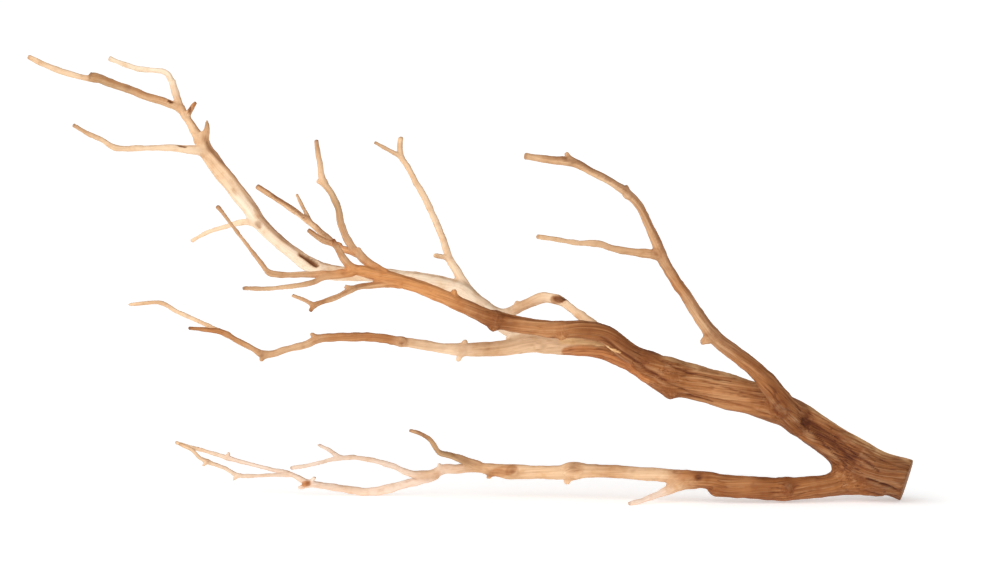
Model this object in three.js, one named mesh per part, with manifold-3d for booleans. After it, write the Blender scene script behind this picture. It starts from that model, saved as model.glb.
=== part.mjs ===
// A piece of driftwood: one dry, bark-free branch, sawn off square at its thick end, lying on a flat surface.
// The limbs are drawn in a working frame: x runs back from the middle of the sawn end, so the tips are at
// negative x; +y goes to the rear, z is the height above the surface. Everything is in millimetres. At the end
// the finished solid is moved so that the middle of its box's underside is the origin.
import * as THREE from "three";
import { mergeVertices } from "three/addons/utils/BufferGeometryUtils.js";
import Module from "manifold-3d";

const wasm = await Module();
wasm.setup();

// Driving dimensions.
const SAWN_END = { middle: [2, -1, 16.8], facing: [0.94, -0.2, -0.29] }; // the saw cut, square to the trunk
const RING_SPACING = 1.5; // rings along a limb stand this many diameters apart
const RING_STEP = { least: 9, most: 13 };
const OUT_OF_ROUND = 0.05; // share of the radius
const TRUNK_FLUTES = { count: 5, depth: 0.045, twist: 0.02 }; // shallow lengthwise waves, twist in radians per mm
const ROUNDED_TIP = 0.38; // how far a worn tip is rounded off, in tip diameters
const CLEAN_UP = 0.3; // edges shorter than this, left by the joining, are merged
const SURFACE_BLOCK = 400; // size of the blocks that trim the sawn end and the worn undersides

// Each limb is the list of stations that its centreline passes, from its root to its tip: x, y, z, diameter.
// A limb's first station is inside the limb that it grows from.

// The trunk, from beyond the saw cut to where it forks into the two long limbs.
const trunk = {
  trunk: [
    [16, -4, 10.4, 36], [2, -1, 16.8, 36], [-20, 2, 24.4, 33.4], [-44, 4, 38.9, 30.8], [-68, 5, 55.5, 26.8],
    [-92, 5, 71.2, 24.6], [-117, 4, 81, 26.4], [-141, 3, 87.8, 27], [-165, 1, 95, 27.4], [-189, 0, 102, 28.6],
    [-205, 0, 108.6, 24], [-217, 0, 112.8, 18],
  ],
};

// The brown limb at the front, and the bunch of twigs it ends in.
const frontLimb = {
  front_limb: [
    [-203, 0, 110, 17.5], [-221.5, -5, 121.2, 15], [-241, -10, 136.6, 14], [-261, -14, 141.2, 14],
    [-281, -18, 141.2, 13.5], [-301, -22, 144.2, 12.8], [-321, -26, 148.2, 13], [-331, -28, 150.2, 14],
    [-345, -31, 157.2, 12.5], [-360, -35, 164.2, 12.6], [-372, -38, 170.2, 12], [-388, -41, 177.2, 11.5],
    [-404, -44, 183.2, 11], [-419, -47, 187.2, 10.4], [-433, -50, 191.2, 9], [-444, -52, 192.2, 7.5],
  ],
  front_upright_spur: [[-441, -52, 193, 7.5], [-448, -57, 202, 5.6], [-452, -62, 210, 4.8], [-455, -66, 217, 3.4]],
  front_tall_twig: [
    [-416, -46, 188.6, 8.4], [-427.5, -44, 196.2, 7], [-438.2, -41, 205.4, 6.2], [-445.8, -38, 216, 6],
    [-450.4, -35, 227, 5.6], [-452.6, -32, 239, 5.4], [-458.4, -29, 251, 5.4], [-465, -27, 261, 6],
    [-467, -25, 272, 4.6], [-469, -23, 284, 4.2], [-470, -22, 292, 3.8],
  ],
  front_long_twig: [
    [-438, -41, 204.6, 6.2], [-444, -36, 205.8, 5.6], [-453.6, -30, 208.8, 5.2], [-466, -24, 218.8, 5.2],
    [-477, -19, 227.8, 5], [-490, -14, 237, 4.8], [-506, -10, 247, 4.6], [-518, -7, 254.2, 4.6],
  ],
  front_split_twig: [[-451, -31, 209, 5], [-463, -34, 213, 4.6], [-476, -38, 222.2, 4.2]],
  front_thin_twig: [[-475, -20, 227, 3.4], [-481, -10, 237, 2.8], [-487, 0, 247.2, 2.6]],
  front_bent_twig: [
    [-441, -52, 191, 6.5], [-448, -54, 190, 5.6], [-462, -56, 189.2, 5.3], [-482, -59, 189.2, 4.8],
    [-497, -61, 189.2, 4.8], [-506, -62, 191.2, 5.2], [-511, -60, 197.2, 3.8], [-529, -52, 219.2, 3.2],
    [-541, -46, 234.2, 3.1], [-547, -43, 241.2, 3.6],
  ],
  front_low_twig: [
    [-440, -52, 190, 6.5], [-452, -57, 188.2, 5.2], [-462, -60, 187.2, 5], [-473, -66, 183.2, 4.5],
    [-489, -73, 181.2, 4], [-508, -80, 180.2, 3.8], [-524, -86, 181.2, 3.2],
  ],
  front_hooked_twig: [
    [-404, -45, 181, 8], [-412, -47, 181, 6.4], [-423, -50, 180.2, 5.2], [-436, -56, 179, 4.8], [-442, -60, 177.2, 5.2],
    [-452, -64, 172.2, 4.6], [-462, -68, 169.2, 4.3], [-470, -71, 166.2, 4.6], [-473, -73, 162.2, 3.2],
  ],
  front_hook_tip: [[-470, -71, 166.2, 4], [-478, -68, 170.2, 3.3], [-487, -64, 173.2, 3]],
};

// The pale limb that leaves the fork low down and runs on to the left.
const lowLimb = {
  low_limb: [
    [-201, 2, 106, 19], [-221, 4, 114, 17.8], [-241, 7, 122.8, 17.8], [-261, 8, 125.2, 17.6], [-281, 9, 125.8, 15.6],
    [-301, 9, 126, 13.2], [-321, 6, 123.6, 11.8], [-337, 3, 122.6, 11.4], [-354, 0, 122.6, 9.8],
    [-372, -4, 124.6, 7.8], [-404, -11, 130.8, 7.4], [-426, -16, 134.8, 7], [-445, -20, 135.4, 7],
    [-470, -25, 134.2, 6.8], [-479, -27, 130, 5.6], [-493, -29, 126.8, 5.3], [-511, -32, 122.6, 6.4],
    [-521, -32, 127.4, 4.8], [-533, -31, 133.6, 4.6], [-545, -30, 140.2, 4.9], [-557, -31, 142.4, 3.9],
    [-571, -34, 144, 3],
  ],
  low_pale_twig: [
    [-541, -30, 138, 4], [-562, -18, 146.4, 3.4], [-582, -8, 154, 3.2], [-596, 2, 160.2, 3.6], [-610, 9, 159.2, 3],
    [-623, 16, 157.2, 2.6],
  ],
};

// The pale limb behind, which carries the highest tips, and the branches on it.
const rearLimb = {
  rear_limb: [
    [-286, 11, 126, 12.5], [-303, 20, 131, 13.5], [-318, 30, 137.8, 14.5], [-331, 37, 146.5, 14],
    [-345, 41, 156.7, 12.8], [-357, 45, 165.7, 14], [-374, 49, 170.2, 14.6], [-390, 52, 173.2, 13.5],
    [-406, 55, 175.2, 12.5], [-427, 58, 177.2, 11.5], [-447, 61, 177.2, 12], [-466, 64, 179.2, 12.8],
    [-482, 68, 184.9, 12.6], [-489.6, 71, 190.1, 11.6], [-499.4, 74, 197.3, 10.8], [-509, 77, 205.4, 10.6],
    [-523, 81, 219, 10.8], [-529.4, 84, 228.4, 11.8], [-536.6, 86, 238, 12.4], [-555.6, 92, 261.2, 12.6],
    [-565.4, 95, 274, 12.2], [-571, 96.5, 284.8, 10], [-576, 98, 292, 7.8], [-581.7, 100, 301.3, 6.8],
    [-587.8, 102, 310.5, 6.8],
  ],
  rear_left_branch: [
    [-586, 102, 309, 7], [-602, 102, 316.6, 7], [-614, 101, 319.8, 6.8], [-629, 99, 326, 6.8], [-643, 97, 331, 7.2],
    [-655, 95, 335.8, 8], [-661, 94, 337.6, 6.6],
  ],
  rear_left_tip: [
    [-656, 95, 334.6, 5.4], [-671, 92, 337.4, 4.7], [-686, 89, 342.4, 4.7], [-698, 87, 347.4, 4.4],
    [-710, 85, 353.4, 4.1],
  ],
  rear_top_branch: [
    [-587, 102.5, 309, 6.6], [-593, 106, 325, 5.8], [-596, 109, 333.2, 5.6], [-600, 111, 339.2, 4.8],
    [-611, 114, 341.2, 4.2], [-624, 118, 342.2, 4.7], [-637, 122, 346.2, 4.6], [-648, 126, 350.2, 4.4],
  ],
  rear_small_spur: [[-583, 100.5, 303, 6], [-578.5, 97, 310.6, 5], [-575, 93, 315.2, 3.6]],
  rear_spike: [[-569, 95, 281, 9], [-566.4, 92, 290, 7], [-565, 89, 296.2, 4.4], [-565, 88, 301.2, 2.6]],
  rear_side_branch: [
    [-567, 94.5, 276, 9], [-580, 89, 277.2, 7.8], [-596, 84, 279.2, 5.8], [-612, 79, 279.2, 4.8],
    [-628, 74, 279.2, 4.8], [-639, 70, 280.2, 5.4], [-648, 67, 286.2, 3.8], [-660, 63, 292.2, 3.4],
    [-671, 60, 299.2, 3],
  ],
  rear_drooping_twig: [
    [-520, 80, 217, 7], [-534, 84, 218.2, 4.8], [-549, 92, 214.2, 3.8], [-566, 101, 208.2, 3.2],
    [-580, 108, 200.2, 3],
  ],
};

// The slender branch that stands up from the rear limb, and the bowed piece that joins it to the front one.
const forkedBranch = {
  forked_branch: [
    [-338, 39, 152.4, 11], [-350, 46, 164, 10], [-361, 53, 182.2, 7.4], [-367, 57, 192.2, 6.2],
    [-370.4, 61, 203.2, 5.7], [-377.6, 67, 220.2, 5.3], [-385.6, 73, 237.2, 5.2], [-393, 77, 250.2, 4.9],
    [-401, 81, 264.2, 4.8], [-406.4, 84, 273.2, 4.7], [-407, 86, 280.2, 4.2], [-406, 88, 287.2, 4],
  ],
  forked_branch_twig: [[-406, 84, 272.2, 4], [-417, 79, 278.2, 3.2], [-427, 75, 284.2, 2.9]],
  forked_branch_spur: [[-366, 57, 191, 5], [-373, 53, 192.6, 4.3], [-378, 50, 193.8, 3.2]],
  bowed_branch: [
    [-246, -3, 139, 9.4], [-259, 8, 148.6, 7.2], [-268, 16, 154.6, 6.8], [-276.4, 25, 159.6, 7.6],
    [-284.4, 31, 161, 8.2], [-292, 34, 160.4, 8.4], [-302, 37, 156, 8], [-311, 38, 151.8, 8.2], [-321, 37, 147, 9.4],
    [-330, 37, 146.5, 11],
  ],
};

// The branch that arches up and back over the others.
const archBranch = {
  arch_branch: [
    [-83, 0, 64, 19], [-98, -9, 81, 17], [-111, -16, 98, 14.6], [-126, -22, 113, 12.4], [-141, -27, 125, 11.8],
    [-155, -32, 137, 11.2], [-165.5, -37, 151, 9.6], [-178, -43, 171, 8.7], [-189, -48, 187, 8.7],
    [-197.5, -52, 202.4, 8.8], [-203, -56, 216, 7.8], [-209, -60, 229, 6.9], [-216, -64, 243, 6.6],
    [-225.5, -67, 253.6, 7], [-238, -71, 262.6, 6.3], [-254, -75, 271.4, 6.3], [-269, -79, 278.6, 6.9],
    [-287, -83, 281, 6], [-305, -86, 284, 5.3],
  ],
  arch_side_twig: [
    [-197, -52, 203, 7.5], [-209, -56, 205.4, 6.6], [-222, -62, 207.4, 5.8], [-236, -68, 210.6, 5.3],
    [-249, -74, 215, 5.2], [-265, -80, 216, 4.4], [-280, -86, 219, 4.1], [-296, -92, 222, 3.8],
  ],
};

// The low branch that lies along the surface, with the forked twigs at its end.
const groundBranch = {
  ground_branch: [
    [-24, 3, 18.5, 23], [-41, 0, 16.2, 20.5], [-57, -3, 13.6, 17.2], [-73, -6, 12.4, 16.8], [-99, -7, 11, 18.4],
    [-117, -8, 12.4, 16.4], [-141, -8, 14.6, 16.6], [-156, -7, 17.6, 14.6], [-173, -5, 19.2, 13],
    [-193, -2, 21.4, 11.4], [-213, 1, 22.4, 11], [-241, 5, 23.6, 10.8], [-254, 7, 23.6, 11.4], [-266, 9, 23.4, 14.6],
    [-278, 10, 21.8, 11], [-297, 13, 21.6, 10.4], [-315, 15, 21.4, 11.8], [-331, 17, 22.8, 9.8], [-344, 18, 25.4, 8],
  ],
  ground_front_foot: [
    [-172, -4, 18, 10.5], [-180, -7, 14.5, 9.4], [-189, -9, 10.4, 8], [-200.5, -13, 6.4, 5.6], [-213, -18, 2.8, 4.2],
    [-221.5, -21, 1, 3.6],
  ],
  ground_raised_twig: [
    [-342, 18, 25.4, 7.6], [-354, 16, 31, 6.4], [-365, 12, 35.3, 5.2], [-373.5, 9, 38.2, 4.7], [-376.5, 6, 42.4, 4.3],
    [-381, 3, 49.4, 4], [-389, 0, 55, 3.5], [-397, -3, 57.8, 2.9],
  ],
  ground_resting_twig: [
    [-341, 18, 25, 7.6], [-359, 21, 23, 7.2], [-371.5, 23, 22, 8.4], [-381.5, 25, 15.4, 7.2], [-399.5, 26, 10, 6.9],
    [-415.5, 26.5, 5.7, 7.1], [-432, 27, 3.2, 7.3], [-445, 28, 4.3, 6.8], [-456.5, 28, 6.2, 6.2],
    [-471, 27.5, 8.4, 5.9], [-481.5, 27, 10.2, 6.8],
  ],
  ground_middle_twig: [
    [-376, 23.5, 18.5, 8], [-388, 22, 18, 7], [-399.5, 20, 20, 5.7], [-409.5, 17, 25.2, 4.8],
    [-425, 12, 30.8, 4.5], [-443, 6, 34.6, 4.3], [-453.5, 2, 35.2, 4.5], [-461.5, 0, 41, 3.3], [-470.5, -2, 46, 3],
  ],
  ground_middle_fork: [[-452, 2, 35, 4], [-461, -2, 34, 3.4], [-470, -6, 32, 3.2], [-481, -10, 30, 3], [-492, -14, 29, 2.9]],
  ground_upper_tip: [
    [-480, 27, 10, 5.4], [-496, 31, 17.5, 3.9], [-510.5, 36, 20, 3.5], [-527, 42, 23.4, 3.3], [-547.5, 48, 28, 4.3],
    [-567, 54, 33, 3.3], [-580, 58, 36, 3.1], [-590.5, 61, 38.6, 3.1],
  ],
  ground_lower_tip: [
    [-494, 31, 16.6, 3.6], [-510, 27, 17, 3.1], [-524.5, 25, 16.7, 3.1], [-537, 22, 17.5, 3.3], [-547.5, 20, 23.6, 3.1],
    [-562, 17, 29.8, 3.6], [-568, 15, 33.4, 3.1], [-573, 14, 39.2, 3], [-583.5, 12, 44.8, 2.8],
  ],
};

// Short broken stubs, knots and the webs in the forks, each rising from inside the limb that it stands on.
const stubs = {
  web_trunk_fork: [[-42, 2, 31, 16], [-58.5, 0, 25.5, 12]],
  web_front_foot: [[-170, -4, 17, 12], [-187, -7, 14.8, 8.4]],
  web_rear_fork: [[-300, 14, 130, 14], [-315, 14, 130, 10]],
  stub_arch_foot: [[-157, -32, 137.5, 10], [-161, -34, 135, 8], [-164, -35, 133.4, 5]],
  stub_arch_bend: [[-225.5, -67, 253, 7], [-226, -67, 258, 4.5]],
  stub_arch_top: [[-270, -79, 279.6, 6.5], [-273, -79, 285, 3.6]],
  stub_front_top: [[-360, -35, 165, 9], [-361, -37, 173, 4.5]],
  stub_front_below: [[-328, -28, 150.5, 12], [-330, -29, 145, 8.6]],
  stub_front_chip: [[-277, -18, 141.2, 11], [-276, -20, 136.5, 8]],
  stub_tall_bud: [[-432.5, -43, 200.5, 5.4], [-436, -43, 208, 3]],
  stub_low_above: [[-355, 0, 123.6, 8], [-353, 0, 129, 4.4]],
  stub_low_below: [[-355, 0, 121.6, 8], [-358, -1, 115, 4.6]],
  stub_low_knot: [[-404, -11, 130.8, 8.4], [-403, -13, 131, 8]],
  stub_low_elbow: [[-511, -32, 122.6, 5.5], [-514, -32, 118.4, 3.6]],
  stub_low_step: [[-471, -25, 135, 6], [-474, -25, 138, 3.6]],
  stub_trunk_below: [[-188, 0, 100, 24], [-188, -1, 90, 14]],
  stub_trunk_knot: [[-101, 0, 76, 18], [-100, -12, 74, 9]],
  stub_ground_knot: [[-95, -7, 11.5, 15], [-94, -14, 11.5, 8]],
  stub_ground_below: [[-268, 9, 21, 9.5], [-270.5, 9, 14.4, 5]],
  stub_ground_step: [[-140, -8, 11.6, 14], [-153, -8, 9.2, 6.5]],
  stub_ground_twig: [[-373, 23, 21.6, 6.5], [-374, 22, 26, 3.6]],
  stub_ground_heel: [[-332, 17, 20.6, 7], [-334, 17, 16.4, 3.6]],
  stub_ground_end: [[-480, 27, 10, 5], [-475, 25, 15.5, 3]],
  stub_ground_nub: [[-480, 27, 9.4, 5], [-487, 26, 6.8, 3.4]],
  stub_bow: [[-311, 38, 152, 7], [-311, 37.5, 156, 4.2]],
  stub_rear_top: [[-592, 105, 323, 6], [-594, 106, 332, 4.8]],
  stub_rear_nub: [[-573, 96.5, 284, 7.4], [-570, 93, 291, 3.6]],
  stub_hook: [[-441, -60, 178, 4.4], [-446, -61, 180, 3.2]],
  stub_tall_twig: [[-464, -27, 259, 5.6], [-468, -28, 260, 3.6]],
  stub_tip: [[-536, 22, 17.6, 3.2], [-541, 21, 14.4, 2.6]],
  stub_tip_side: [[-561, 17, 29.6, 3.3], [-564.5, 17, 27, 2.6]],
  stub_tip_knot: [[-547.5, 48, 28, 4.2], [-546.5, 48, 31.6, 2.6]],
};

const limbs = { ...trunk, ...frontLimb, ...lowLimb, ...rearLimb, ...forkedBranch, ...archBranch, ...groundBranch, ...stubs };

// More sides on thicker wood.
const sidesFor = (diameter) => (diameter > 24 ? 16 : diameter > 13 ? 10 : diameter > 9 ? 8 : 6);

// Diameter at curve parameter t, easing from one station to the next.
function diameterAt(stations, t) {
  const place = t * (stations.length - 1);
  const i = Math.min(Math.floor(place), stations.length - 2);
  return THREE.MathUtils.lerp(stations[i][3], stations[i + 1][3], THREE.MathUtils.smoothstep(place - i, 0, 1));
}

// One limb: a sphere drawn out along the centreline, its rows of vertices becoming the rings.
function limbGeometry(name, stations) {
  const line = new THREE.CatmullRomCurve3(stations.map(([x, y, z]) => new THREE.Vector3(x, y, z)), false, "centripetal");
  const length = line.getLength();
  const thickest = Math.max(...stations.map((station) => station[3]));
  const average = stations.reduce((sum, station) => sum + station[3], 0) / stations.length;
  const step = THREE.MathUtils.clamp(RING_SPACING * average, RING_STEP.least, RING_STEP.most);
  const spans = Math.max(2, Math.round(length / step));
  const sides = sidesFor(thickest);
  const frames = line.computeFrenetFrames(spans, false);
  const isTrunk = name === "trunk";

  // Rows: the root's pole, its rings up to the tip's full ring, one smaller ring, and the tip's pole.
  const rows = spans + 3;
  const geometry = new THREE.SphereGeometry(1, sides, rows);
  const position = geometry.getAttribute("position");
  for (let row = 0; row <= rows; row++) {
    const ring = THREE.MathUtils.clamp(row - 1, 0, spans);
    const along = ring / spans;
    const atTip = row > spans + 1;
    const radius = diameterAt(stations, line.getUtoTmapping(along)) / 2;
    const centre = line.getPointAt(along);
    if (atTip) centre.addScaledVector(frames.tangents[spans], ROUNDED_TIP * radius * (row - spans - 1));
    const shrink = row === 0 || row === rows ? 0 : atTip ? 0.68 : 1;
    for (let side = 0; side <= sides; side++) {
      const angle = (side / sides) * 2 * Math.PI;
      const wave = isTrunk
        ? TRUNK_FLUTES.depth * Math.cos(TRUNK_FLUTES.count * angle + TRUNK_FLUTES.twist * along * length)
        : OUT_OF_ROUND * Math.cos(2 * angle + 3 * along);
      const spread = radius * shrink * (1 + wave);
      const point = centre
        .clone()
        .addScaledVector(frames.normals[ring], spread * Math.cos(angle))
        .addScaledVector(frames.binormals[ring], -spread * Math.sin(angle));
      position.setXYZ(row * (sides + 1) + side, point.x, point.y, point.z);
    }
  }
  return geometry;
}

// A closed geometry as a solid that can be joined and cut.
function solidFrom(geometry) {
  geometry.deleteAttribute("normal");
  geometry.deleteAttribute("uv");
  const merged = mergeVertices(geometry, 1e-3);
  const mesh = { numProp: 3, vertProperties: merged.attributes.position.array, triVerts: new Uint32Array(merged.index.array) };
  return new wasm.Manifold(new wasm.Mesh(mesh));
}

// The block beyond the sawn end: its near face is the saw cut.
function sawnEndBlock() {
  const facing = new THREE.Vector3(...SAWN_END.facing).normalize();
  const block = new THREE.BoxGeometry(60, 80, 80);
  block.translate(30, 0, 0);
  block.applyQuaternion(new THREE.Quaternion().setFromUnitVectors(new THREE.Vector3(1, 0, 0), facing));
  return solidFrom(block.translate(...SAWN_END.middle));
}

// The block under the surface, which leaves small flats worn where the wood rests.
function surfaceBlock() {
  const block = new THREE.BoxGeometry(3 * SURFACE_BLOCK, SURFACE_BLOCK, SURFACE_BLOCK);
  return solidFrom(block.translate(-SURFACE_BLOCK, 0, -SURFACE_BLOCK / 2));
}

function driftwoodGeometry() {
  const grown = wasm.Manifold.union(Object.entries(limbs).map(([name, stations]) => solidFrom(limbGeometry(name, stations))));
  const trimmed = grown.simplify(CLEAN_UP).subtract(sawnEndBlock()).subtract(surfaceBlock());
  const { numProp, vertProperties, triVerts } = trimmed.getMesh();
  const geometry = new THREE.BufferGeometry();
  geometry.setAttribute("position", new THREE.BufferAttribute(new Float32Array(vertProperties), numProp));
  geometry.setIndex(new THREE.BufferAttribute(new Uint32Array(triVerts), 1));
  geometry.computeBoundingBox();
  const { min, max } = geometry.boundingBox;
  geometry.translate(-(min.x + max.x) / 2, -(min.y + max.y) / 2, -min.z);
  geometry.computeVertexNormals();
  return geometry;
}

// Dry, bark-free wood: warm brown, with no gloss.
const bareWood = new THREE.MeshStandardMaterial({ color: 0xb98452, roughness: 0.8, metalness: 0 });

const branch = new THREE.Mesh(driftwoodGeometry(), bareWood);
branch.name = "driftwood_branch";

const driftwood = new THREE.Group();
driftwood.add(branch);

export default driftwood;
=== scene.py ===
import math

import bmesh
import bpy
import numpy as np
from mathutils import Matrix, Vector, noise


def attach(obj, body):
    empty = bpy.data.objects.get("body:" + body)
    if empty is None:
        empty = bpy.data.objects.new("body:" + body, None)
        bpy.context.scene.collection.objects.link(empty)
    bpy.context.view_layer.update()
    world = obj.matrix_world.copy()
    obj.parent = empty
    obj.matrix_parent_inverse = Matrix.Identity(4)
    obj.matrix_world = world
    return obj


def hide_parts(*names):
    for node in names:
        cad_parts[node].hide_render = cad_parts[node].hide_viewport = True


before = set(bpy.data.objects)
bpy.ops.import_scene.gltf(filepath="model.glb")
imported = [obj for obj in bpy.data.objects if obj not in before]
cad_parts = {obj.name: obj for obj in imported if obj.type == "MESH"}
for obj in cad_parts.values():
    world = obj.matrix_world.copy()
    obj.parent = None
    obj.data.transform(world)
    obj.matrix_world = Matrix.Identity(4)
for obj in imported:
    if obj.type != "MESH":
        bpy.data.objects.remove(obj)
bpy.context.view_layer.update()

# One dry, bark-free branch. Its limbs are listed as in the CAD source: each is the stations that its
# centreline passes from root to tip, x, y, z and diameter in mm. At the saw cut x = 0, and z = 0 is the
# surface that the branch lies on.

trunk = dict(
    trunk=[
        (16, -4, 10.4, 36), (2, -1, 16.8, 36), (-20, 2, 24.4, 33.4), (-44, 4, 38.9, 30.8),
        (-68, 5, 55.5, 26.8), (-92, 5, 71.2, 24.6), (-117, 4, 81, 26.4), (-141, 3, 87.8, 27),
        (-165, 1, 95, 27.4), (-189, 0, 102, 28.6), (-205, 0, 108.6, 24), (-217, 0, 112.8, 18),
    ],
)
frontLimb = dict(
    frontLimb=[
        (-203, 0, 110, 17.5), (-221.5, -5, 121.2, 15), (-241, -10, 136.6, 14), (-261, -14, 141.2, 14),
        (-281, -18, 141.2, 13.5), (-301, -22, 144.2, 12.8), (-321, -26, 148.2, 13),
        (-331, -28, 150.2, 14), (-345, -31, 157.2, 12.5), (-360, -35, 164.2, 12.6),
        (-372, -38, 170.2, 12), (-388, -41, 177.2, 11.5), (-404, -44, 183.2, 11),
        (-419, -47, 187.2, 10.4), (-433, -50, 191.2, 9), (-444, -52, 192.2, 7.5),
    ],
    frontUprightSpur=[
        (-441, -52, 193, 7.5), (-448, -57, 202, 5.6), (-452, -62, 210, 4.8), (-455, -66, 217, 3.4),
    ],
    frontTallTwig=[
        (-416, -46, 188.6, 8.4), (-427.5, -44, 196.2, 7), (-438.2, -41, 205.4, 6.2),
        (-445.8, -38, 216, 6), (-450.4, -35, 227, 5.6), (-452.6, -32, 239, 5.4), (-458.4, -29, 251, 5.4),
        (-465, -27, 261, 6), (-467, -25, 272, 4.6), (-469, -23, 284, 4.2), (-470, -22, 292, 3.8),
    ],
    frontLongTwig=[
        (-438, -41, 204.6, 6.2), (-444, -36, 205.8, 5.6), (-453.6, -30, 208.8, 5.2),
        (-466, -24, 218.8, 5.2), (-477, -19, 227.8, 5), (-490, -14, 237, 4.8), (-506, -10, 247, 4.6),
        (-518, -7, 254.2, 4.6),
    ],
    frontSplitTwig=[(-451, -31, 209, 5), (-463, -34, 213, 4.6), (-476, -38, 222.2, 4.2)],
    frontThinTwig=[(-475, -20, 227, 3.4), (-481, -10, 237, 2.8), (-487, 0, 247.2, 2.6)],
    frontBentTwig=[
        (-441, -52, 191, 6.5), (-448, -54, 190, 5.6), (-462, -56, 189.2, 5.3), (-482, -59, 189.2, 4.8),
        (-497, -61, 189.2, 4.8), (-506, -62, 191.2, 5.2), (-511, -60, 197.2, 3.8),
        (-529, -52, 219.2, 3.2), (-541, -46, 234.2, 3.1), (-547, -43, 241.2, 3.6),
    ],
    frontLowTwig=[
        (-440, -52, 190, 6.5), (-452, -57, 188.2, 5.2), (-462, -60, 187.2, 5), (-473, -66, 183.2, 4.5),
        (-489, -73, 181.2, 4), (-508, -80, 180.2, 3.8), (-524, -86, 181.2, 3.2),
    ],
    frontHookedTwig=[
        (-404, -45, 181, 8), (-412, -47, 181, 6.4), (-423, -50, 180.2, 5.2), (-436, -56, 179, 4.8),
        (-442, -60, 177.2, 5.2), (-452, -64, 172.2, 4.6), (-462, -68, 169.2, 4.3),
        (-470, -71, 166.2, 4.6), (-473, -73, 162.2, 3.2),
    ],
    frontHookTip=[(-470, -71, 166.2, 4), (-478, -68, 170.2, 3.3), (-487, -64, 173.2, 3)],
)
lowLimb = dict(
    lowLimb=[
        (-201, 2, 106, 19), (-221, 4, 114, 17.8), (-241, 7, 122.8, 17.8), (-261, 8, 125.2, 17.6),
        (-281, 9, 125.8, 15.6), (-301, 9, 126, 13.2), (-321, 6, 123.6, 11.8), (-337, 3, 122.6, 11.4),
        (-354, 0, 122.6, 9.8), (-372, -4, 124.6, 7.8), (-404, -11, 130.8, 7.4), (-426, -16, 134.8, 7),
        (-445, -20, 135.4, 7), (-470, -25, 134.2, 6.8), (-479, -27, 130, 5.6), (-493, -29, 126.8, 5.3),
        (-511, -32, 122.6, 6.4), (-521, -32, 127.4, 4.8), (-533, -31, 133.6, 4.6),
        (-545, -30, 140.2, 4.9), (-557, -31, 142.4, 3.9), (-571, -34, 144, 3),
    ],
    lowPaleTwig=[
        (-541, -30, 138, 4), (-562, -18, 146.4, 3.4), (-582, -8, 154, 3.2), (-596, 2, 160.2, 3.6),
        (-610, 9, 159.2, 3), (-623, 16, 157.2, 2.6),
    ],
)
rearLimb = dict(
    rearLimb=[
        (-286, 11, 126, 12.5), (-303, 20, 131, 13.5), (-318, 30, 137.8, 14.5), (-331, 37, 146.5, 14),
        (-345, 41, 156.7, 12.8), (-357, 45, 165.7, 14), (-374, 49, 170.2, 14.6), (-390, 52, 173.2, 13.5),
        (-406, 55, 175.2, 12.5), (-427, 58, 177.2, 11.5), (-447, 61, 177.2, 12), (-466, 64, 179.2, 12.8),
        (-482, 68, 184.9, 12.6), (-489.6, 71, 190.1, 11.6), (-499.4, 74, 197.3, 10.8),
        (-509, 77, 205.4, 10.6), (-523, 81, 219, 10.8), (-529.4, 84, 228.4, 11.8),
        (-536.6, 86, 238, 12.4), (-555.6, 92, 261.2, 12.6), (-565.4, 95, 274, 12.2),
        (-571, 96.5, 284.8, 10), (-576, 98, 292, 7.8), (-581.7, 100, 301.3, 6.8),
        (-587.8, 102, 310.5, 6.8),
    ],
    rearLeftBranch=[
        (-586, 102, 309, 7), (-602, 102, 316.6, 7), (-614, 101, 319.8, 6.8), (-629, 99, 326, 6.8),
        (-643, 97, 331, 7.2), (-655, 95, 335.8, 8), (-661, 94, 337.6, 6.6),
    ],
    rearLeftTip=[
        (-656, 95, 334.6, 5.4), (-671, 92, 337.4, 4.7), (-686, 89, 342.4, 4.7), (-698, 87, 347.4, 4.4),
        (-710, 85, 353.4, 4.1),
    ],
    rearTopBranch=[
        (-587, 102.5, 309, 6.6), (-593, 106, 325, 5.8), (-596, 109, 333.2, 5.6), (-600, 111, 339.2, 4.8),
        (-611, 114, 341.2, 4.2), (-624, 118, 342.2, 4.7), (-637, 122, 346.2, 4.6),
        (-648, 126, 350.2, 4.4),
    ],
    rearSmallSpur=[(-583, 100.5, 303, 6), (-578.5, 97, 310.6, 5), (-575, 93, 315.2, 3.6)],
    rearSpike=[(-569, 95, 281, 9), (-566.4, 92, 290, 7), (-565, 89, 296.2, 4.4), (-565, 88, 301.2, 2.6)],
    rearSideBranch=[
        (-567, 94.5, 276, 9), (-580, 89, 277.2, 7.8), (-596, 84, 279.2, 5.8), (-612, 79, 279.2, 4.8),
        (-628, 74, 279.2, 4.8), (-639, 70, 280.2, 5.4), (-648, 67, 286.2, 3.8), (-660, 63, 292.2, 3.4),
        (-671, 60, 299.2, 3),
    ],
    rearDroopingTwig=[
        (-520, 80, 217, 7), (-534, 84, 218.2, 4.8), (-549, 92, 214.2, 3.8), (-566, 101, 208.2, 3.2),
        (-580, 108, 200.2, 3),
    ],
)
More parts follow.
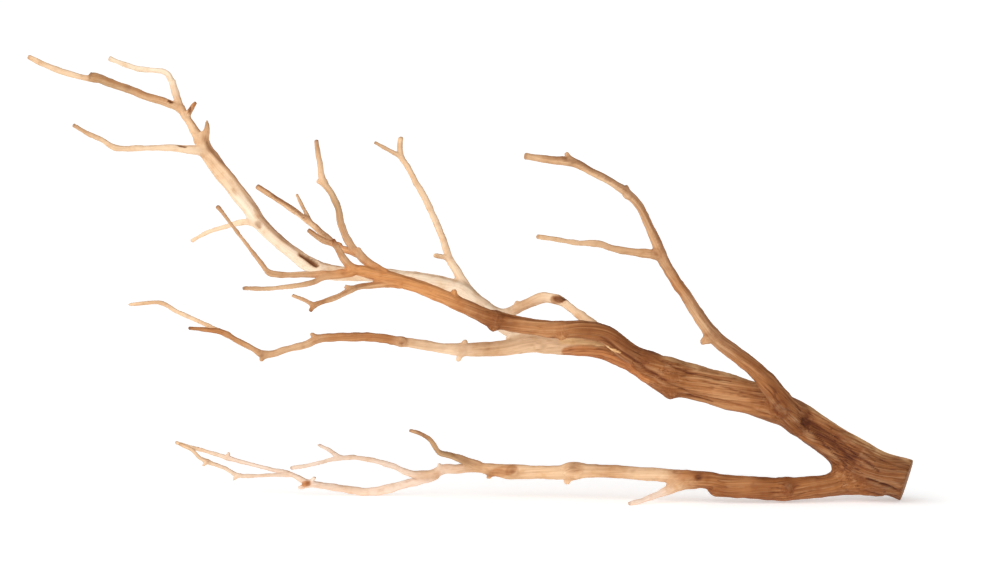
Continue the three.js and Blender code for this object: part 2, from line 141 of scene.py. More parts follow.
forkedBranch = dict(
    forkedBranch=[
        (-338, 39, 152.4, 11), (-350, 46, 164, 10), (-361, 53, 182.2, 7.4), (-367, 57, 192.2, 6.2),
        (-370.4, 61, 203.2, 5.7), (-377.6, 67, 220.2, 5.3), (-385.6, 73, 237.2, 5.2),
        (-393, 77, 250.2, 4.9), (-401, 81, 264.2, 4.8), (-406.4, 84, 273.2, 4.7), (-407, 86, 280.2, 4.2),
        (-406, 88, 287.2, 4),
    ],
    forkedBranchTwig=[(-406, 84, 272.2, 4), (-417, 79, 278.2, 3.2), (-427, 75, 284.2, 2.9)],
    forkedBranchSpur=[(-366, 57, 191, 5), (-373, 53, 192.6, 4.3), (-378, 50, 193.8, 3.2)],
    bowedBranch=[
        (-246, -3, 139, 9.4), (-259, 8, 148.6, 7.2), (-268, 16, 154.6, 6.8), (-276.4, 25, 159.6, 7.6),
        (-284.4, 31, 161, 8.2), (-292, 34, 160.4, 8.4), (-302, 37, 156, 8), (-311, 38, 151.8, 8.2),
        (-321, 37, 147, 9.4), (-330, 37, 146.5, 11),
    ],
)
archBranch = dict(
    archBranch=[
        (-83, 0, 64, 19), (-98, -9, 81, 17), (-111, -16, 98, 14.6), (-126, -22, 113, 12.4),
        (-141, -27, 125, 11.8), (-155, -32, 137, 11.2), (-165.5, -37, 151, 9.6), (-178, -43, 171, 8.7),
        (-189, -48, 187, 8.7), (-197.5, -52, 202.4, 8.8), (-203, -56, 216, 7.8), (-209, -60, 229, 6.9),
        (-216, -64, 243, 6.6), (-225.5, -67, 253.6, 7), (-238, -71, 262.6, 6.3), (-254, -75, 271.4, 6.3),
        (-269, -79, 278.6, 6.9), (-287, -83, 281, 6), (-305, -86, 284, 5.3),
    ],
    archSideTwig=[
        (-197, -52, 203, 7.5), (-209, -56, 205.4, 6.6), (-222, -62, 207.4, 5.8), (-236, -68, 210.6, 5.3),
        (-249, -74, 215, 5.2), (-265, -80, 216, 4.4), (-280, -86, 219, 4.1), (-296, -92, 222, 3.8),
    ],
)
groundBranch = dict(
    groundBranch=[
        (-24, 3, 18.5, 23), (-41, 0, 16.2, 20.5), (-57, -3, 13.6, 17.2), (-73, -6, 12.4, 16.8),
        (-99, -7, 11, 18.4), (-117, -8, 12.4, 16.4), (-141, -8, 14.6, 16.6), (-156, -7, 17.6, 14.6),
        (-173, -5, 19.2, 13), (-193, -2, 21.4, 11.4), (-213, 1, 22.4, 11), (-241, 5, 23.6, 10.8),
        (-254, 7, 23.6, 11.4), (-266, 9, 23.4, 14.6), (-278, 10, 21.8, 11), (-297, 13, 21.6, 10.4),
        (-315, 15, 21.4, 11.8), (-331, 17, 22.8, 9.8), (-344, 18, 25.4, 8),
    ],
    groundFrontFoot=[
        (-172, -4, 18, 10.5), (-180, -7, 14.5, 9.4), (-189, -9, 10.4, 8), (-200.5, -13, 6.4, 5.6),
        (-213, -18, 2.8, 4.2), (-221.5, -21, 1, 3.6),
    ],
    groundRaisedTwig=[
        (-342, 18, 25.4, 7.6), (-354, 16, 31, 6.4), (-365, 12, 35.3, 5.2), (-373.5, 9, 38.2, 4.7),
        (-376.5, 6, 42.4, 4.3), (-381, 3, 49.4, 4), (-389, 0, 55, 3.5), (-397, -3, 57.8, 2.9),
    ],
    groundRestingTwig=[
        (-341, 18, 25, 7.6), (-359, 21, 23, 7.2), (-371.5, 23, 22, 8.4), (-381.5, 25, 15.4, 7.2),
        (-399.5, 26, 10, 6.9), (-415.5, 26.5, 5.7, 7.1), (-432, 27, 3.2, 7.3), (-445, 28, 4.3, 6.8),
        (-456.5, 28, 6.2, 6.2), (-471, 27.5, 8.4, 5.9), (-481.5, 27, 10.2, 6.8),
    ],
    groundMiddleTwig=[
        (-376, 23.5, 18.5, 8), (-388, 22, 18, 7), (-399.5, 20, 20, 5.7), (-409.5, 17, 25.2, 4.8),
        (-425, 12, 30.8, 4.5), (-443, 6, 34.6, 4.3), (-453.5, 2, 35.2, 4.5), (-461.5, 0, 41, 3.3),
        (-470.5, -2, 46, 3),
    ],
    groundMiddleFork=[
        (-452, 2, 35, 4), (-461, -2, 34, 3.4), (-470, -6, 32, 3.2), (-481, -10, 30, 3),
        (-492, -14, 29, 2.9),
    ],
    groundUpperTip=[
        (-480, 27, 10, 5.4), (-496, 31, 17.5, 3.9), (-510.5, 36, 20, 3.5), (-527, 42, 23.4, 3.3),
        (-547.5, 48, 28, 4.3), (-567, 54, 33, 3.3), (-580, 58, 36, 3.1), (-590.5, 61, 38.6, 3.1),
    ],
    groundLowerTip=[
        (-494, 31, 16.6, 3.6), (-510, 27, 17, 3.1), (-524.5, 25, 16.7, 3.1), (-537, 22, 17.5, 3.3),
        (-547.5, 20, 23.6, 3.1), (-562, 17, 29.8, 3.6), (-568, 15, 33.4, 3.1), (-573, 14, 39.2, 3),
        (-583.5, 12, 44.8, 2.8),
    ],
)
stubs = dict(
    webFrontFoot=[(-170, -4, 17, 12), (-187, -7, 14.8, 8.4)],
    webRearFork=[(-300, 14, 130, 14), (-315, 14, 130, 10)],
    stubArchFoot=[(-157, -32, 137.5, 10), (-161, -34, 135, 8), (-164, -35, 133.4, 5)],
    stubArchBend=[(-225.5, -67, 253, 7), (-226, -67, 258, 4.5)],
    stubArchTop=[(-270, -79, 279.6, 6.5), (-273, -79, 285, 3.6)],
    stubFrontTop=[(-360, -35, 165, 9), (-361, -37, 173, 4.5)],
    stubFrontBelow=[(-328, -28, 150.5, 12), (-330, -29, 145, 8.6)],
    stubFrontChip=[(-277, -18, 141.2, 11), (-276, -20, 136.5, 8)],
    stubTallBud=[(-432.5, -43, 200.5, 5.4), (-436, -43, 208, 3)],
    stubLowAbove=[(-355, 0, 123.6, 8), (-353, 0, 129, 4.4)],
    stubLowBelow=[(-355, 0, 121.6, 8), (-358, -1, 115, 4.6)],
    stubLowKnot=[(-404, -11, 130.8, 8.4), (-403, -13, 131, 8)],
    stubLowElbow=[(-511, -32, 122.6, 5.5), (-514, -32, 118.4, 3.6)],
    stubLowStep=[(-471, -25, 135, 6), (-474, -25, 138, 3.6)],
    stubTrunkBelow=[(-188, 0, 100, 24), (-188, -1, 90, 14)],
    stubTrunkKnot=[(-101, 0, 76, 18), (-100, -12, 74, 9)],
    stubGroundKnot=[(-95, -7, 11.5, 15), (-94, -14, 11.5, 8)],
    stubGroundBelow=[(-268, 9, 21, 9.5), (-270.5, 9, 14.4, 5)],
    stubGroundStep=[(-112, -8, 11.4, 15), (-134, -8, 11.8, 14), (-151, -8, 11.4, 12.4)],
    stubGroundTwig=[(-373, 23, 21.6, 6.5), (-374, 22, 26, 3.6)],
    stubGroundHeel=[(-332, 17, 20.6, 7), (-334, 17, 16.4, 3.6)],
    stubGroundEnd=[(-480, 27, 10, 5), (-475, 25, 15.5, 3)],
    stubGroundNub=[(-480, 27, 9.4, 5), (-487, 26, 6.8, 3.4)],
    stubBow=[(-311, 38, 152, 7), (-311, 37.5, 156, 4.2)],
    stubRearTop=[(-592, 105, 323, 6), (-594, 106, 332, 4.8)],
    stubRearNub=[(-573, 96.5, 284, 7.4), (-570, 93, 291, 3.6)],
    stubHook=[(-441, -60, 178, 4.4), (-446, -61, 180, 3.2)],
    stubTallTwig=[(-464, -27, 259, 5.6), (-468, -28, 260, 3.6)],
    stubTip=[(-536, 22, 17.6, 3.2), (-541, 21, 14.4, 2.6)],
    stubTipSide=[(-561, 17, 29.6, 3.3), (-564.5, 17, 27, 2.6)],
    stubTipKnot=[(-547.5, 48, 28, 4.2), (-546.5, 48, 31.6, 2.6)],
)

limbTable = {
    **trunk, **frontLimb, **lowLimb, **rearLimb, **forkedBranch, **archBranch, **groundBranch, **stubs
}

# What shapes the wood, in mm unless it says otherwise.
wood = dict(
    origin=(351.6173, -17.1362, 0.0),  # where the limbs' x, y and z start from in the shared frame
    voxel=1.27,  # size of the remesh's cells, fine enough for the thinnest twig tips
    lineStep=1.2,  # spacing of the points along a centreline
    batch=4000,  # how many points are measured against a limb at a time
    reach=9.0,  # how far round a limb its wood is looked for
    fillet=0.62,  # softness of a fork, as a share of the thinner limb's radius
    wideForks={("trunk", "groundBranch"): 15.0, ("trunk", "archBranch"): 8.0},  # softness of the big forks
    # drawing the skin onto the limbs: the most that a point moves in a round, the least that its direction's
    # squared length counts as where limbs pull against each other, the rounds at first, then how often it is
    # smoothed, by what share, and the rounds after each smoothing
    drawing=dict(mostMove=1.5, leastPull=0.2, rounds=4, smoothings=3, smoothShare=0.6, laterRounds=2),
    tipRound=0.45,  # how far a worn tip is rounded off, in radii
    stubRound=1.0,  # the same for stubs and webs, which end in a full round
    outOfRound=0.05,  # how far from circular a limb's section is, as a share of its radius
    # the sawn end: a point on it and the way it faces
    cutMiddle=(2, -1, 16.8),
    cutFacing=(0.94, -0.2, -0.29),
    # the lengthwise ridges of the thick wood, which turn round the limb by twist, in radians per mm, and are
    # at their full depth where its radius is fullAt; a crack runs where their noise is within about crackWidth
    # of nought, crackDepth times as deep as they are, and dark is how dark the lows between them are
    grain=dict(
        across=5.0, along=90, depth=0.5, twist=0.012, fullAt=16, crackWidth=0.16, crackDepth=0.8, dark=0.3
    ),
    fibre=dict(across=2.0, along=38, depth=0.3, fullAt=7),
    # unevenness, with depths as shares of the radius; the small kind fades on limbs thicker than smallOn
    lumps=dict(size=19, depth=0.04, smallSize=7.5, smallDepth=0.17, smallOn=4),
    buds=dict(every=26, size=2.0, height=0.5, dark=0.4),  # old bud and twig scars, about this far apart
    wornDark=0.5,  # how dark the worn tips are
    blend=2.6,  # how far two limbs' grain runs over each other at a fork
    blendGrowth=0.25,  # and how much further per mm of the thinner limb's radius
)


def curveThrough(stations, step):
    # a centripetal Catmull-Rom curve, the same as the CAD centrelines
    table = np.array(stations, float)
    at, size = table[:, :3], table[:, 3]
    ends = np.vstack([2 * at[0] - at[1], at, 2 * at[-1] - at[-2]])
    points, widths = [], []
    for i in range(len(at) - 1):
        p0, p1, p2, p3 = ends[i : i + 4]
        d0, d1, d2 = (max(np.linalg.norm(b - a) ** 0.5, 1e-4) for a, b in ((p0, p1), (p1, p2), (p2, p3)))
        t1 = ((p1 - p0) / d0 - (p2 - p0) / (d0 + d1) + (p2 - p1) / d1) * d1
        t2 = ((p2 - p1) / d1 - (p3 - p1) / (d1 + d2) + (p3 - p2) / d2) * d1
        last = i == len(at) - 2
        n = max(2, math.ceil(np.linalg.norm(p2 - p1) / step))
        t = np.linspace(0, 1, n + last, endpoint=last)[:, None]
        points.append(
            p1 + t1 * t + (3 * (p2 - p1) - 2 * t1 - t2) * t**2 + (2 * (p1 - p2) + t1 + t2) * t**3
        )
        widths.append(size[i] + (size[i + 1] - size[i]) * (t * t * (3 - 2 * t))[:, 0])
    return np.vstack(points), np.concatenate(widths) / 2


def limbFrom(name, stations):
    points, radius = curveThrough(stations, wood["lineStep"])
    tangent = np.gradient(points, axis=0)
    tangent /= np.linalg.norm(tangent, axis=1)[:, None]
    arc = np.concatenate([[0], np.cumsum(np.linalg.norm(np.diff(points, axis=0), axis=1))])
    # the direction that stays up as far as it can, carried along without twisting
    normal = np.zeros_like(points)
    carried = np.array([0.1, 0.2, 1.0])
    for i, along in enumerate(tangent):
        carried = carried - along * carried.dot(along)
        carried /= np.linalg.norm(carried)
        normal[i] = carried
    return dict(
        name=name, points=points, radius=radius, tangent=tangent, arc=arc,
        normal=normal, side=np.cross(tangent, normal),
        tip=wood["stubRound"] if name.startswith(("stub", "web")) else wood["tipRound"],
        phase=np.random.default_rng(len(name) * 131 + int(abs(stations[0][0]))).uniform(0, 6.28, 3),
    )


def blendRows(table, place):
    low = np.clip(place.astype(int), 0, len(table) - 2)
    share = place - low
    if table.ndim > 1:
        share = share[:, None]
    return table[low] * (1 - share) + table[low + 1] * share


def roundLimb(limb, points):
    # how far each point is outside one limb, which way is out, and its place in that limb's grain
    line = limb["points"]
    best = np.empty(len(points), int)
    for start in range(0, len(points), wood["batch"]):
        part = points[start : start + wood["batch"]]
        apart = (part**2).sum(1)[:, None] - 2 * part @ line.T + (line**2).sum(1)[None]
        best[start : start + wood["batch"]] = apart.argmin(1)
    ahead = ((points - line[best]) * limb["tangent"][best]).sum(1)
    spacing = np.gradient(limb["arc"])[best]
    place = np.clip(best + ahead / spacing, 0, len(line) - 1)
    centre, tangent = blendRows(line, place), blendRows(limb["tangent"], place)
    away = points - centre
    u = (away * blendRows(limb["normal"], place)).sum(1)
    v = (away * blendRows(limb["side"], place)).sum(1)
    beyond = (away * tangent).sum(1)
    across = away - tangent * beyond[:, None]
    radius, arc = blendRows(limb["radius"], place), blendRows(limb["arc"], place)
    angle = np.arctan2(v, u)
    p = limb["phase"]
    shape = np.cos(2 * angle + p[0] + arc * 0.02) + 0.6 * np.cos(3 * angle + p[1] - arc * 0.035)
    full = radius * (1 + wood["outOfRound"] * shape)
    stretched = across + tangent * (beyond / limb["tip"])[:, None]
    apart = np.linalg.norm(stretched, axis=1) + 1e-6
    out = across + tangent * (beyond / limb["tip"] ** 2)[:, None]
    return dict(
        gap=apart - full, out=out / apart[:, None], radius=radius, u=u, v=v, arc=arc + beyond, place=place
    )


def nearestLimbs(limbs, points, count=3):
    # the nearest few limbs to each point, nearest first
    rows = []
    for number, limb in enumerate(limbs):
        margin = wood["reach"] + limb["radius"].max()
        low, high = limb["points"].min(0) - margin, limb["points"].max(0) + margin
        inside = np.where(((points > low) & (points < high)).all(1))[0]
        if not len(inside):
            continue
        near = roundLimb(limb, points[inside])
        rows.append(
            np.column_stack(
                [inside, near["gap"], near["out"], near["radius"], near["u"], near["v"], near["arc"],
                 near["place"], np.full(len(inside), number)]
            )
        )
    rows = np.vstack(rows)
    rows = rows[np.lexsort((rows[:, 1], rows[:, 0]))]
    first = np.searchsorted(rows[:, 0], np.arange(len(points)))
    found = []
    for rank in range(count):
        pick = np.minimum(first + rank, len(rows) - 1)
        row = rows[pick]
        missing = row[:, 0] != np.arange(len(points))
        row = row.copy()
        row[missing, 1] = 1e3
        found.append(
            dict(gap=row[:, 1], out=row[:, 2:5], radius=row[:, 5], u=row[:, 6], v=row[:, 7], arc=row[:, 8],
                 place=row[:, 9], limb=row[:, 10].astype(int))
        )
    return found


def surfaceGap(near):
    # the limbs as one smooth piece of wood: a soft union of the nearest three
    gap, out = near[0]["gap"], near[0]["out"]
    for other in near[1:]:
        soft = wood["fillet"] * np.minimum(near[0]["radius"], other["radius"])
        for (a, b), width in wideForks.items():
            oneWay = (near[0]["limb"] == a) & (other["limb"] == b)
            otherWay = (near[0]["limb"] == b) & (other["limb"] == a)
            soft = np.where(oneWay | otherWay, width, soft)
        share = np.clip(0.5 + 0.5 * (other["gap"] - gap) / soft, 0, 1)
        gap = other["gap"] * (1 - share) + gap * share - soft * share * (1 - share)
        out = other["out"] * (1 - share[:, None]) + out * share[:, None]
    return gap, out


cutMiddle = np.array(wood["cutMiddle"], float)
cutFacing = np.array(wood["cutFacing"]) / np.linalg.norm(wood["cutFacing"])


def pulledToSurface(limbs, points, rounds):
    most, least = wood["drawing"]["mostMove"], wood["drawing"]["leastPull"]
    for _ in range(rounds):
        gap, out = surfaceGap(nearestLimbs(limbs, points))
        beyondCut = (points - cutMiddle) @ cutFacing
        ahead = beyondCut > gap
        gap, out = np.where(ahead, beyondCut, gap), np.where(ahead[:, None], cutFacing, out)
        size = (out**2).sum(1)
        points = points - out * (np.clip(gap, -most, most) / np.maximum(size, least))[:, None]
    points[:, 2] = np.maximum(points[:, 2], 0)
    return points


def neighbourMean(points, edges):
    total = np.zeros_like(points)
    count = np.zeros(len(points))
    for a, b in ((0, 1), (1, 0)):
        for axis in range(points.shape[1]):
            total[:, axis] += np.bincount(edges[:, a], points[edges[:, b], axis], len(points))
        count += np.bincount(edges[:, a], minlength=len(points))
    return total / np.maximum(count, 1)[:, None]


def meshPoints(mesh):
    flat = np.empty(len(mesh.vertices) * 3)
    mesh.vertices.foreach_get("co", flat)
    return flat.reshape(-1, 3)


def meshNormals(mesh):
    mesh.update()
    flat = np.empty(len(mesh.vertices) * 3)
    mesh.vertex_normals.foreach_get("vector", flat)
    return flat.reshape(-1, 3)


def setPoints(mesh, points):
    mesh.vertices.foreach_set("co", points.ravel())
    mesh.update()


# The CAD node's mesh is copied and merged, then remeshed evenly and drawn onto the round limbs.
limbs = [limbFrom(name, stations) for name, stations in limbTable.items()]
limbNames = list(limbTable)
wideForks = {(limbNames.index(a), limbNames.index(b)): width for (a, b), width in wood["wideForks"].items()}
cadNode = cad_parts["driftwood_branch"]
branchMesh = cadNode.data.copy()
branchMesh.name = "driftwood"
bm = bmesh.new()
bm.from_mesh(branchMesh)
bmesh.ops.remove_doubles(bm, verts=bm.verts, dist=1e-6)
bmesh.ops.recalc_face_normals(bm, faces=bm.faces)
bm.to_mesh(branchMesh)
bm.free()
branchMesh.materials.clear()
driftwood = bpy.data.objects.new("driftwood", branchMesh)
bpy.context.scene.collection.objects.link(driftwood)
remesh = driftwood.modifiers.new("even skin", "REMESH")
remesh.mode = "VOXEL"
remesh.voxel_size = wood["voxel"] / 1000
remesh.adaptivity = 0
evaluated = driftwood.evaluated_get(bpy.context.evaluated_depsgraph_get())
skin = bpy.data.meshes.new_from_object(evaluated)
driftwood.modifiers.clear()
driftwood.data = skin
skin.name = "driftwood"
bpy.data.meshes.remove(branchMesh)
print("remeshed:", len(skin.vertices), "points,", len(skin.polygons), "faces")

edges = np.empty(len(skin.edges) * 2, int)
skin.edges.foreach_get("vertices", edges)
edges = edges.reshape(-1, 2)
origin = np.array(wood["origin"])
points = meshPoints(skin) * 1000 - origin
drawing = wood["drawing"]
points = pulledToSurface(limbs, points, drawing["rounds"])
for _ in range(drawing["smoothings"]):
    # points on the saw cut or on the surface stay where they are
    onCut = np.abs((points - cutMiddle) @ cutFacing) < 0.02
    smoothed = points + drawing["smoothShare"] * (neighbourMean(points, edges) - points)
    points = np.where(onCut[:, None] | (points[:, 2:] <= 0.001), points, smoothed)
    points = pulledToSurface(limbs, points, drawing["laterRounds"])
print("drawn onto the limbs")

# What is carved, listed one by one and placed in mm as the limbs are. Depth is inwards, a negative depth
# stands proud, and dark goes from 0 to 1. A groove: the points that it follows, its width, its depth and how
# dark it is.
grooves = [
    (
        [(-86, -9, 72), (-74, -9, 63), (-60, -8, 51), (-47, -10, 40), (-35, -11, 31)],
        14, 4.4, 0.55,
    ),  # the big hollow between the fork and the butt
    # fine cracks along it
    ([(-76, -7, 67), (-54, -8, 53), (-36, -13, 37), (-22, -15, 27)], 1.7, 0.9, 0.8),
    ([(-83, -10, 65), (-65, -7, 47), (-47, -8, 30)], 1.8, 0.9, 0.75),
    ([(-71, -8, 62), (-58, -8, 49), (-43, -10, 35)], 1.4, 0.7, 0.7),
    ([(-66, -6, 65), (-42, -9, 47), (-24, -14, 36)], 1.4, 0.6, 0.55),
    ([(-31, -11, 21), (-16, -14, 16), (0, -14, 11)], 1.8, 2.0, 1.0),  # the open crack at the saw cut
    # cracks along the butt, the trunk and its fork
    ([(-30, -9, 41), (-14, -11, 33), (1, -15, 28)], 1.3, 0.5, 0.45),
    ([(-34, -8, 13), (-20, -7, 8), (-6, -12, 5)], 1.5, 0.6, 0.5),
    ([(-203, -12, 106), (-173, -11, 89), (-137, -9, 80), (-110, -7, 72)], 2.2, 0.8, 0.35),
    ([(-176, -8, 87), (-166, -8, 84), (-155, -7, 81)], 2.0, 0.9, 0.9),
    ([(-165, -12, 100), (-137, -9, 91), (-113, -8, 86)], 1.8, 0.6, 0.35),
    # its darkness is painted shade: the shadow line under the trunk's pale top edge
    ([(-200, -8, 116), (-185, -11, 109), (-161, -10, 103), (-140, -8, 99)], 2.4, 0.9, 0.5),
    ([(-244, -16, 134), (-230, -12, 124), (-213, -12, 112), (-196, -14, 99)], 2.4, 1.0, 0.5),
    # cracks and dark lines along the limbs and twigs
    ([(-506, -13, 249), (-492, -16, 240), (-480, -21, 231)], 1.8, 0.3, 0.75),
    ([(-470, -26, 222), (-460, -31, 214)], 1.3, 0.2, 0.5),
    ([(-261, -17, 146), (-285, -22, 148), (-309, -27, 151), (-331, -32, 157)], 2.0, 0.4, 0.3),
    ([(-366, -6, 124), (-384, -11, 127), (-398, -14, 130)], 3.2, 0.2, 0.3),
    ([(-601, 108, 316), (-616, 106, 322), (-640, 102, 331), (-655, 98, 337)], 4.0, 0.3, 0.4),
    # its darkness is painted shade along the right-hand edge of the rear limb
    ([(-569, 90, 290), (-563, 90, 279), (-552, 89, 263)], 4.6, 0.4, 0.55),
    ([(-345, 14, 27), (-357, 12, 33), (-372, 8, 41), (-392, -2, 58)], 3.0, 0.2, 0.45),
    # a rib that stands proud, from the arched branch down past the hollow
    (
        [(-121, -19, 102), (-110, -17, 90), (-97, -14, 76), (-84, -12, 61), (-70, -9, 46), (-59, -8, 33)],
        9, -1.5, 0,
    ),
]
# A knot, scar or small hollow is an oval: its middle, the way that its long side lies, half its length, half
# its width, its depth, how dark it is, and how marked the ring round it is.
ovals = [
    ((-101, -16, 78), (0.6, 0, -0.8), 7, 5, -1.6, 0.35, 0.8),
    ((-277, 23, 161), (1, -0.1, 0.1), 9, 4.6, 1.3, 0.75, 0.5),
    ((-480, 65, 189), (0.8, -0.3, -0.6), 10.5, 3.6, 2.4, 0.9, 0.3),
    ((-522, 75, 216), (0.6, 0, -0.8), 3.6, 2.8, 0.5, 0.5, 0.3),
    ((-594, 96, 319), (1, 0, -0.4), 3.0, 2.0, 1.0, 1.0, 0.2),
    # its darkness is painted shade, in the crevice between the rear limb and its small spur
    ((-583, 93, 310), (0.4, 0, -1), 5.0, 2.2, 0.8, 0.75, 0.1),
    ((-585, 86, 281), (1, 0, 0), 7, 1.5, 0.9, 0.8, 0.0),
    ((-543, 80, 243), (0.6, 0, -0.8), 4, 2, 0.4, 0.2, 0.1),
    ((-356, -5, 122), (1, 0, 0), 5, 4.5, -0.8, 0.15, 0.25),
    ((-403, -16, 131), (1, 0, 0.1), 3.6, 3.2, -0.4, 0.75, 0.6),
    ((-513, -35, 122), (1, 0, 0.2), 4, 3.6, -0.3, 0.5, 0.4),
    ((-95, -16, 14), (1, 0, 0.2), 5.5, 5, -1.3, 0.35, 0.8),
    ((-165, -12, 21), (1, 0, 0), 3, 2.8, 0.3, 0.7, 0.5),
    ((-184, -7, 25), (1, 0, 0), 4.4, 4, -0.5, 0.4, 0.6),
    ((-267, 2, 27), (1, 0, 0), 5, 4.4, -0.8, 0.4, 0.35),
    ((-315, 10, 23), (1, 0, 0), 4.4, 4, -0.4, 0.4, 0.5),
    ((-334, 15, 20), (1, 0, 0), 3.6, 3, -0.3, 0.5, 0.4),
    ((-481, 24, 11), (1, 0, 0), 3, 2.6, 0, 0.6, 0.4),
    ((-203, -57, 205), (0.4, 0, -1), 5, 3.6, -0.3, 0.35, 0.5),
    ((-161, -39, 139), (0.5, 0, -1), 5, 4.6, -0.7, 0.3, 0.6),
    ((-274, -82, 282), (1, 0, 0.2), 3.2, 3, 0, 0.35, 0.4),
    ((-342, -37, 156), (1, 0, 0.3), 5, 3.4, -0.3, 0.3, 0.4),
    ((-227, -71, 257), (0.6, 0, -1), 3.4, 3, -0.2, 0.35, 0.4),
]


noiseGain = 1.7  # brings Blender's noise to about -1 to 1


def noiseAt(places):
    return np.array([noise.noise(Vector(place)) for place in places]) * noiseGain


def stretchedNoise(u, v, s, across, along, seed):
    # smooth noise drawn out along the grain
    places = np.column_stack([u / across + seed * 7.3, v / across - seed * 3.1, s / along + seed * 1.7])
    return noiseAt(places)


def smooth(low, high, value):
    t = np.clip((value - low) / (high - low), 0, 1)
    return t * t * (3 - 2 * t)


def snapped(points, path, step=5.0):
    # the path in short steps, each put on the nearest point of the surface
    fine = []
    for a, b in zip(path, path[1:]):
        a, b = np.array(a, float), np.array(b, float)
        n = max(1, math.ceil(np.linalg.norm(b - a) / step))
        fine += [a + (b - a) * i / n for i in range(n)]
    fine.append(np.array(path[-1], float))
    return [points[((points - p) ** 2).sum(1).argmin()] for p in fine]


def pathDistance(points, path):
    # how far each point is from the path, and its share of the way along it
    nearest = np.full(len(points), 1e3)
    ends = np.zeros(len(points))
    total = sum(math.dist(a, b) for a, b in zip(path, path[1:])) + 1e-6
    run = 0
    for a, b in zip(path, path[1:]):
        a, b = np.array(a, float), np.array(b, float)
        length = np.linalg.norm(b - a) + 1e-6
        t = np.clip((points - a) @ (b - a) / length**2, 0, 1)
        apart = np.linalg.norm(points - a - t[:, None] * (b - a), axis=1)
        closer = apart < nearest
        nearest = np.where(closer, apart, nearest)
        ends = np.where(closer, (run + t * length) / total, ends)
        run += length
    return nearest, ends


setPoints(skin, (points + origin) / 1000)
normals = meshNormals(skin)
near = nearestLimbs(limbs, points)
weights = []
for other in near:
    spread = wood["blend"] + wood["blendGrowth"] * np.minimum(near[0]["radius"], other["radius"])
    weights.append(np.clip(1 - (other["gap"] - near[0]["gap"]) / spread, 0, 1) ** 2)
weights = np.array(weights)
weights /= weights.sum(0)
radius = (weights * np.array([n["radius"] for n in near])).sum(0)
beyondCut = (points - cutMiddle) @ cutFacing
onCut = smooth(-0.9, -0.1, beyondCut)
grown = 1 - onCut

# the ridges and fibres, each limb's own, running over each other at the forks
grain, fibre, lumps, buds = wood["grain"], wood["fibre"], wood["lumps"], wood["buds"]
ridge, fine = np.zeros(len(points)), np.zeros(len(points))
for n, weight in zip(near, weights):
    use = weight > 0.01
    turn = grain["twist"] * n["arc"][use]
    u = n["u"][use] * np.cos(turn) - n["v"][use] * np.sin(turn)
    v = n["u"][use] * np.sin(turn) + n["v"][use] * np.cos(turn)
    s, seed = n["arc"][use], n["limb"][use] * 0.37
    long = stretchedNoise(u, v, s, grain["across"], grain["along"], seed)
    crack = np.exp(-((long / grain["crackWidth"]) ** 2))
    ridge[use] += weight[use] * (long - grain["crackDepth"] * crack)
    fine[use] += weight[use] * stretchedNoise(u, v, s, fibre["across"], fibre["along"], seed + 5)
lump = noiseAt(points / lumps["size"])
smallLump = noiseAt(points / lumps["smallSize"] + 40)
lift = ridge * grain["depth"] * np.clip(radius / grain["fullAt"], 0, 1.1) ** 0.9
lift += fine * fibre["depth"] * np.clip(radius / fibre["fullAt"], 0.25, 1)
lift += lump * lumps["depth"] * radius
lift += smallLump * lumps["smallDepth"] * radius / (1 + (radius / lumps["smallOn"]) ** 2.3)
hollow = np.clip(-ridge * grain["dark"], 0, 1) * smooth(3, 10, radius)

furrow = np.zeros(len(points))
for path, width, depth, dark in grooves:
    apart, run = pathDistance(points, snapped(points, path))
    wander = 1 + 0.25 * np.sin(run * 17)
    if width > 3:  # wide ones fade at both ends, and cracks only at the first
        taper = smooth(0, 0.15, run) * smooth(0, 0.15, 1 - run)
    else:
        taper = smooth(0, 0.2, run + 0.08)
    amount = np.exp(-((apart / (width * 0.5 * wander)) ** 2)) * (0.25 + 0.75 * taper)
    lift -= amount * depth
    hollow = np.maximum(hollow, amount * dark)
    if width > 10:  # the grain shows more inside the big hollow
        furrow = np.maximum(furrow, amount)
knotRing = np.zeros(len(points))
for at, along, length, width, depth, dark, ring in ovals:
    away = points - points[((points - np.array(at, float)) ** 2).sum(1).argmin()]
    lengthwise = away @ np.array(Vector(along).normalized())
    sideways = np.sqrt(np.maximum((away**2).sum(1) - lengthwise**2, 0))
    reach = np.hypot(lengthwise / length, sideways / width) * (1 + 0.22 * smallLump)
    # hollows are flat-floored, and knots that stand proud are domed
    amount = 1 - smooth(0.7, 1.05, reach) if depth > 0 else 1 - smooth(0, 1.15, reach)
    lip = np.exp(-(((reach - 1.12) / 0.22) ** 2))
    lift -= amount * depth - lip * 0.35 * ring
    hollow = np.maximum(hollow, amount * dark)
    ringed = np.exp(-(((reach - 1.0) / 0.26) ** 2)) * ring * (0.7 + 0.6 * lump)
    knotRing = np.maximum(knotRing, ringed)
    knotRing = np.maximum(knotRing, np.exp(-((reach / 0.45) ** 2)) * ring)
# worn ends are darker
for n, weight in zip(near, weights):
    for number, limb in enumerate(limbs):
        if limb["name"].startswith(("stub", "web", "trunk")) or limb["arc"][-1] < 25:
            continue
        use = (n["limb"] == number) & (weight > 0.5)
        left = limb["arc"][-1] - n["arc"][use]
        hollow[use] = np.maximum(hollow[use], wood["wornDark"] * (1 - smooth(-0.4, 1.6, left)))

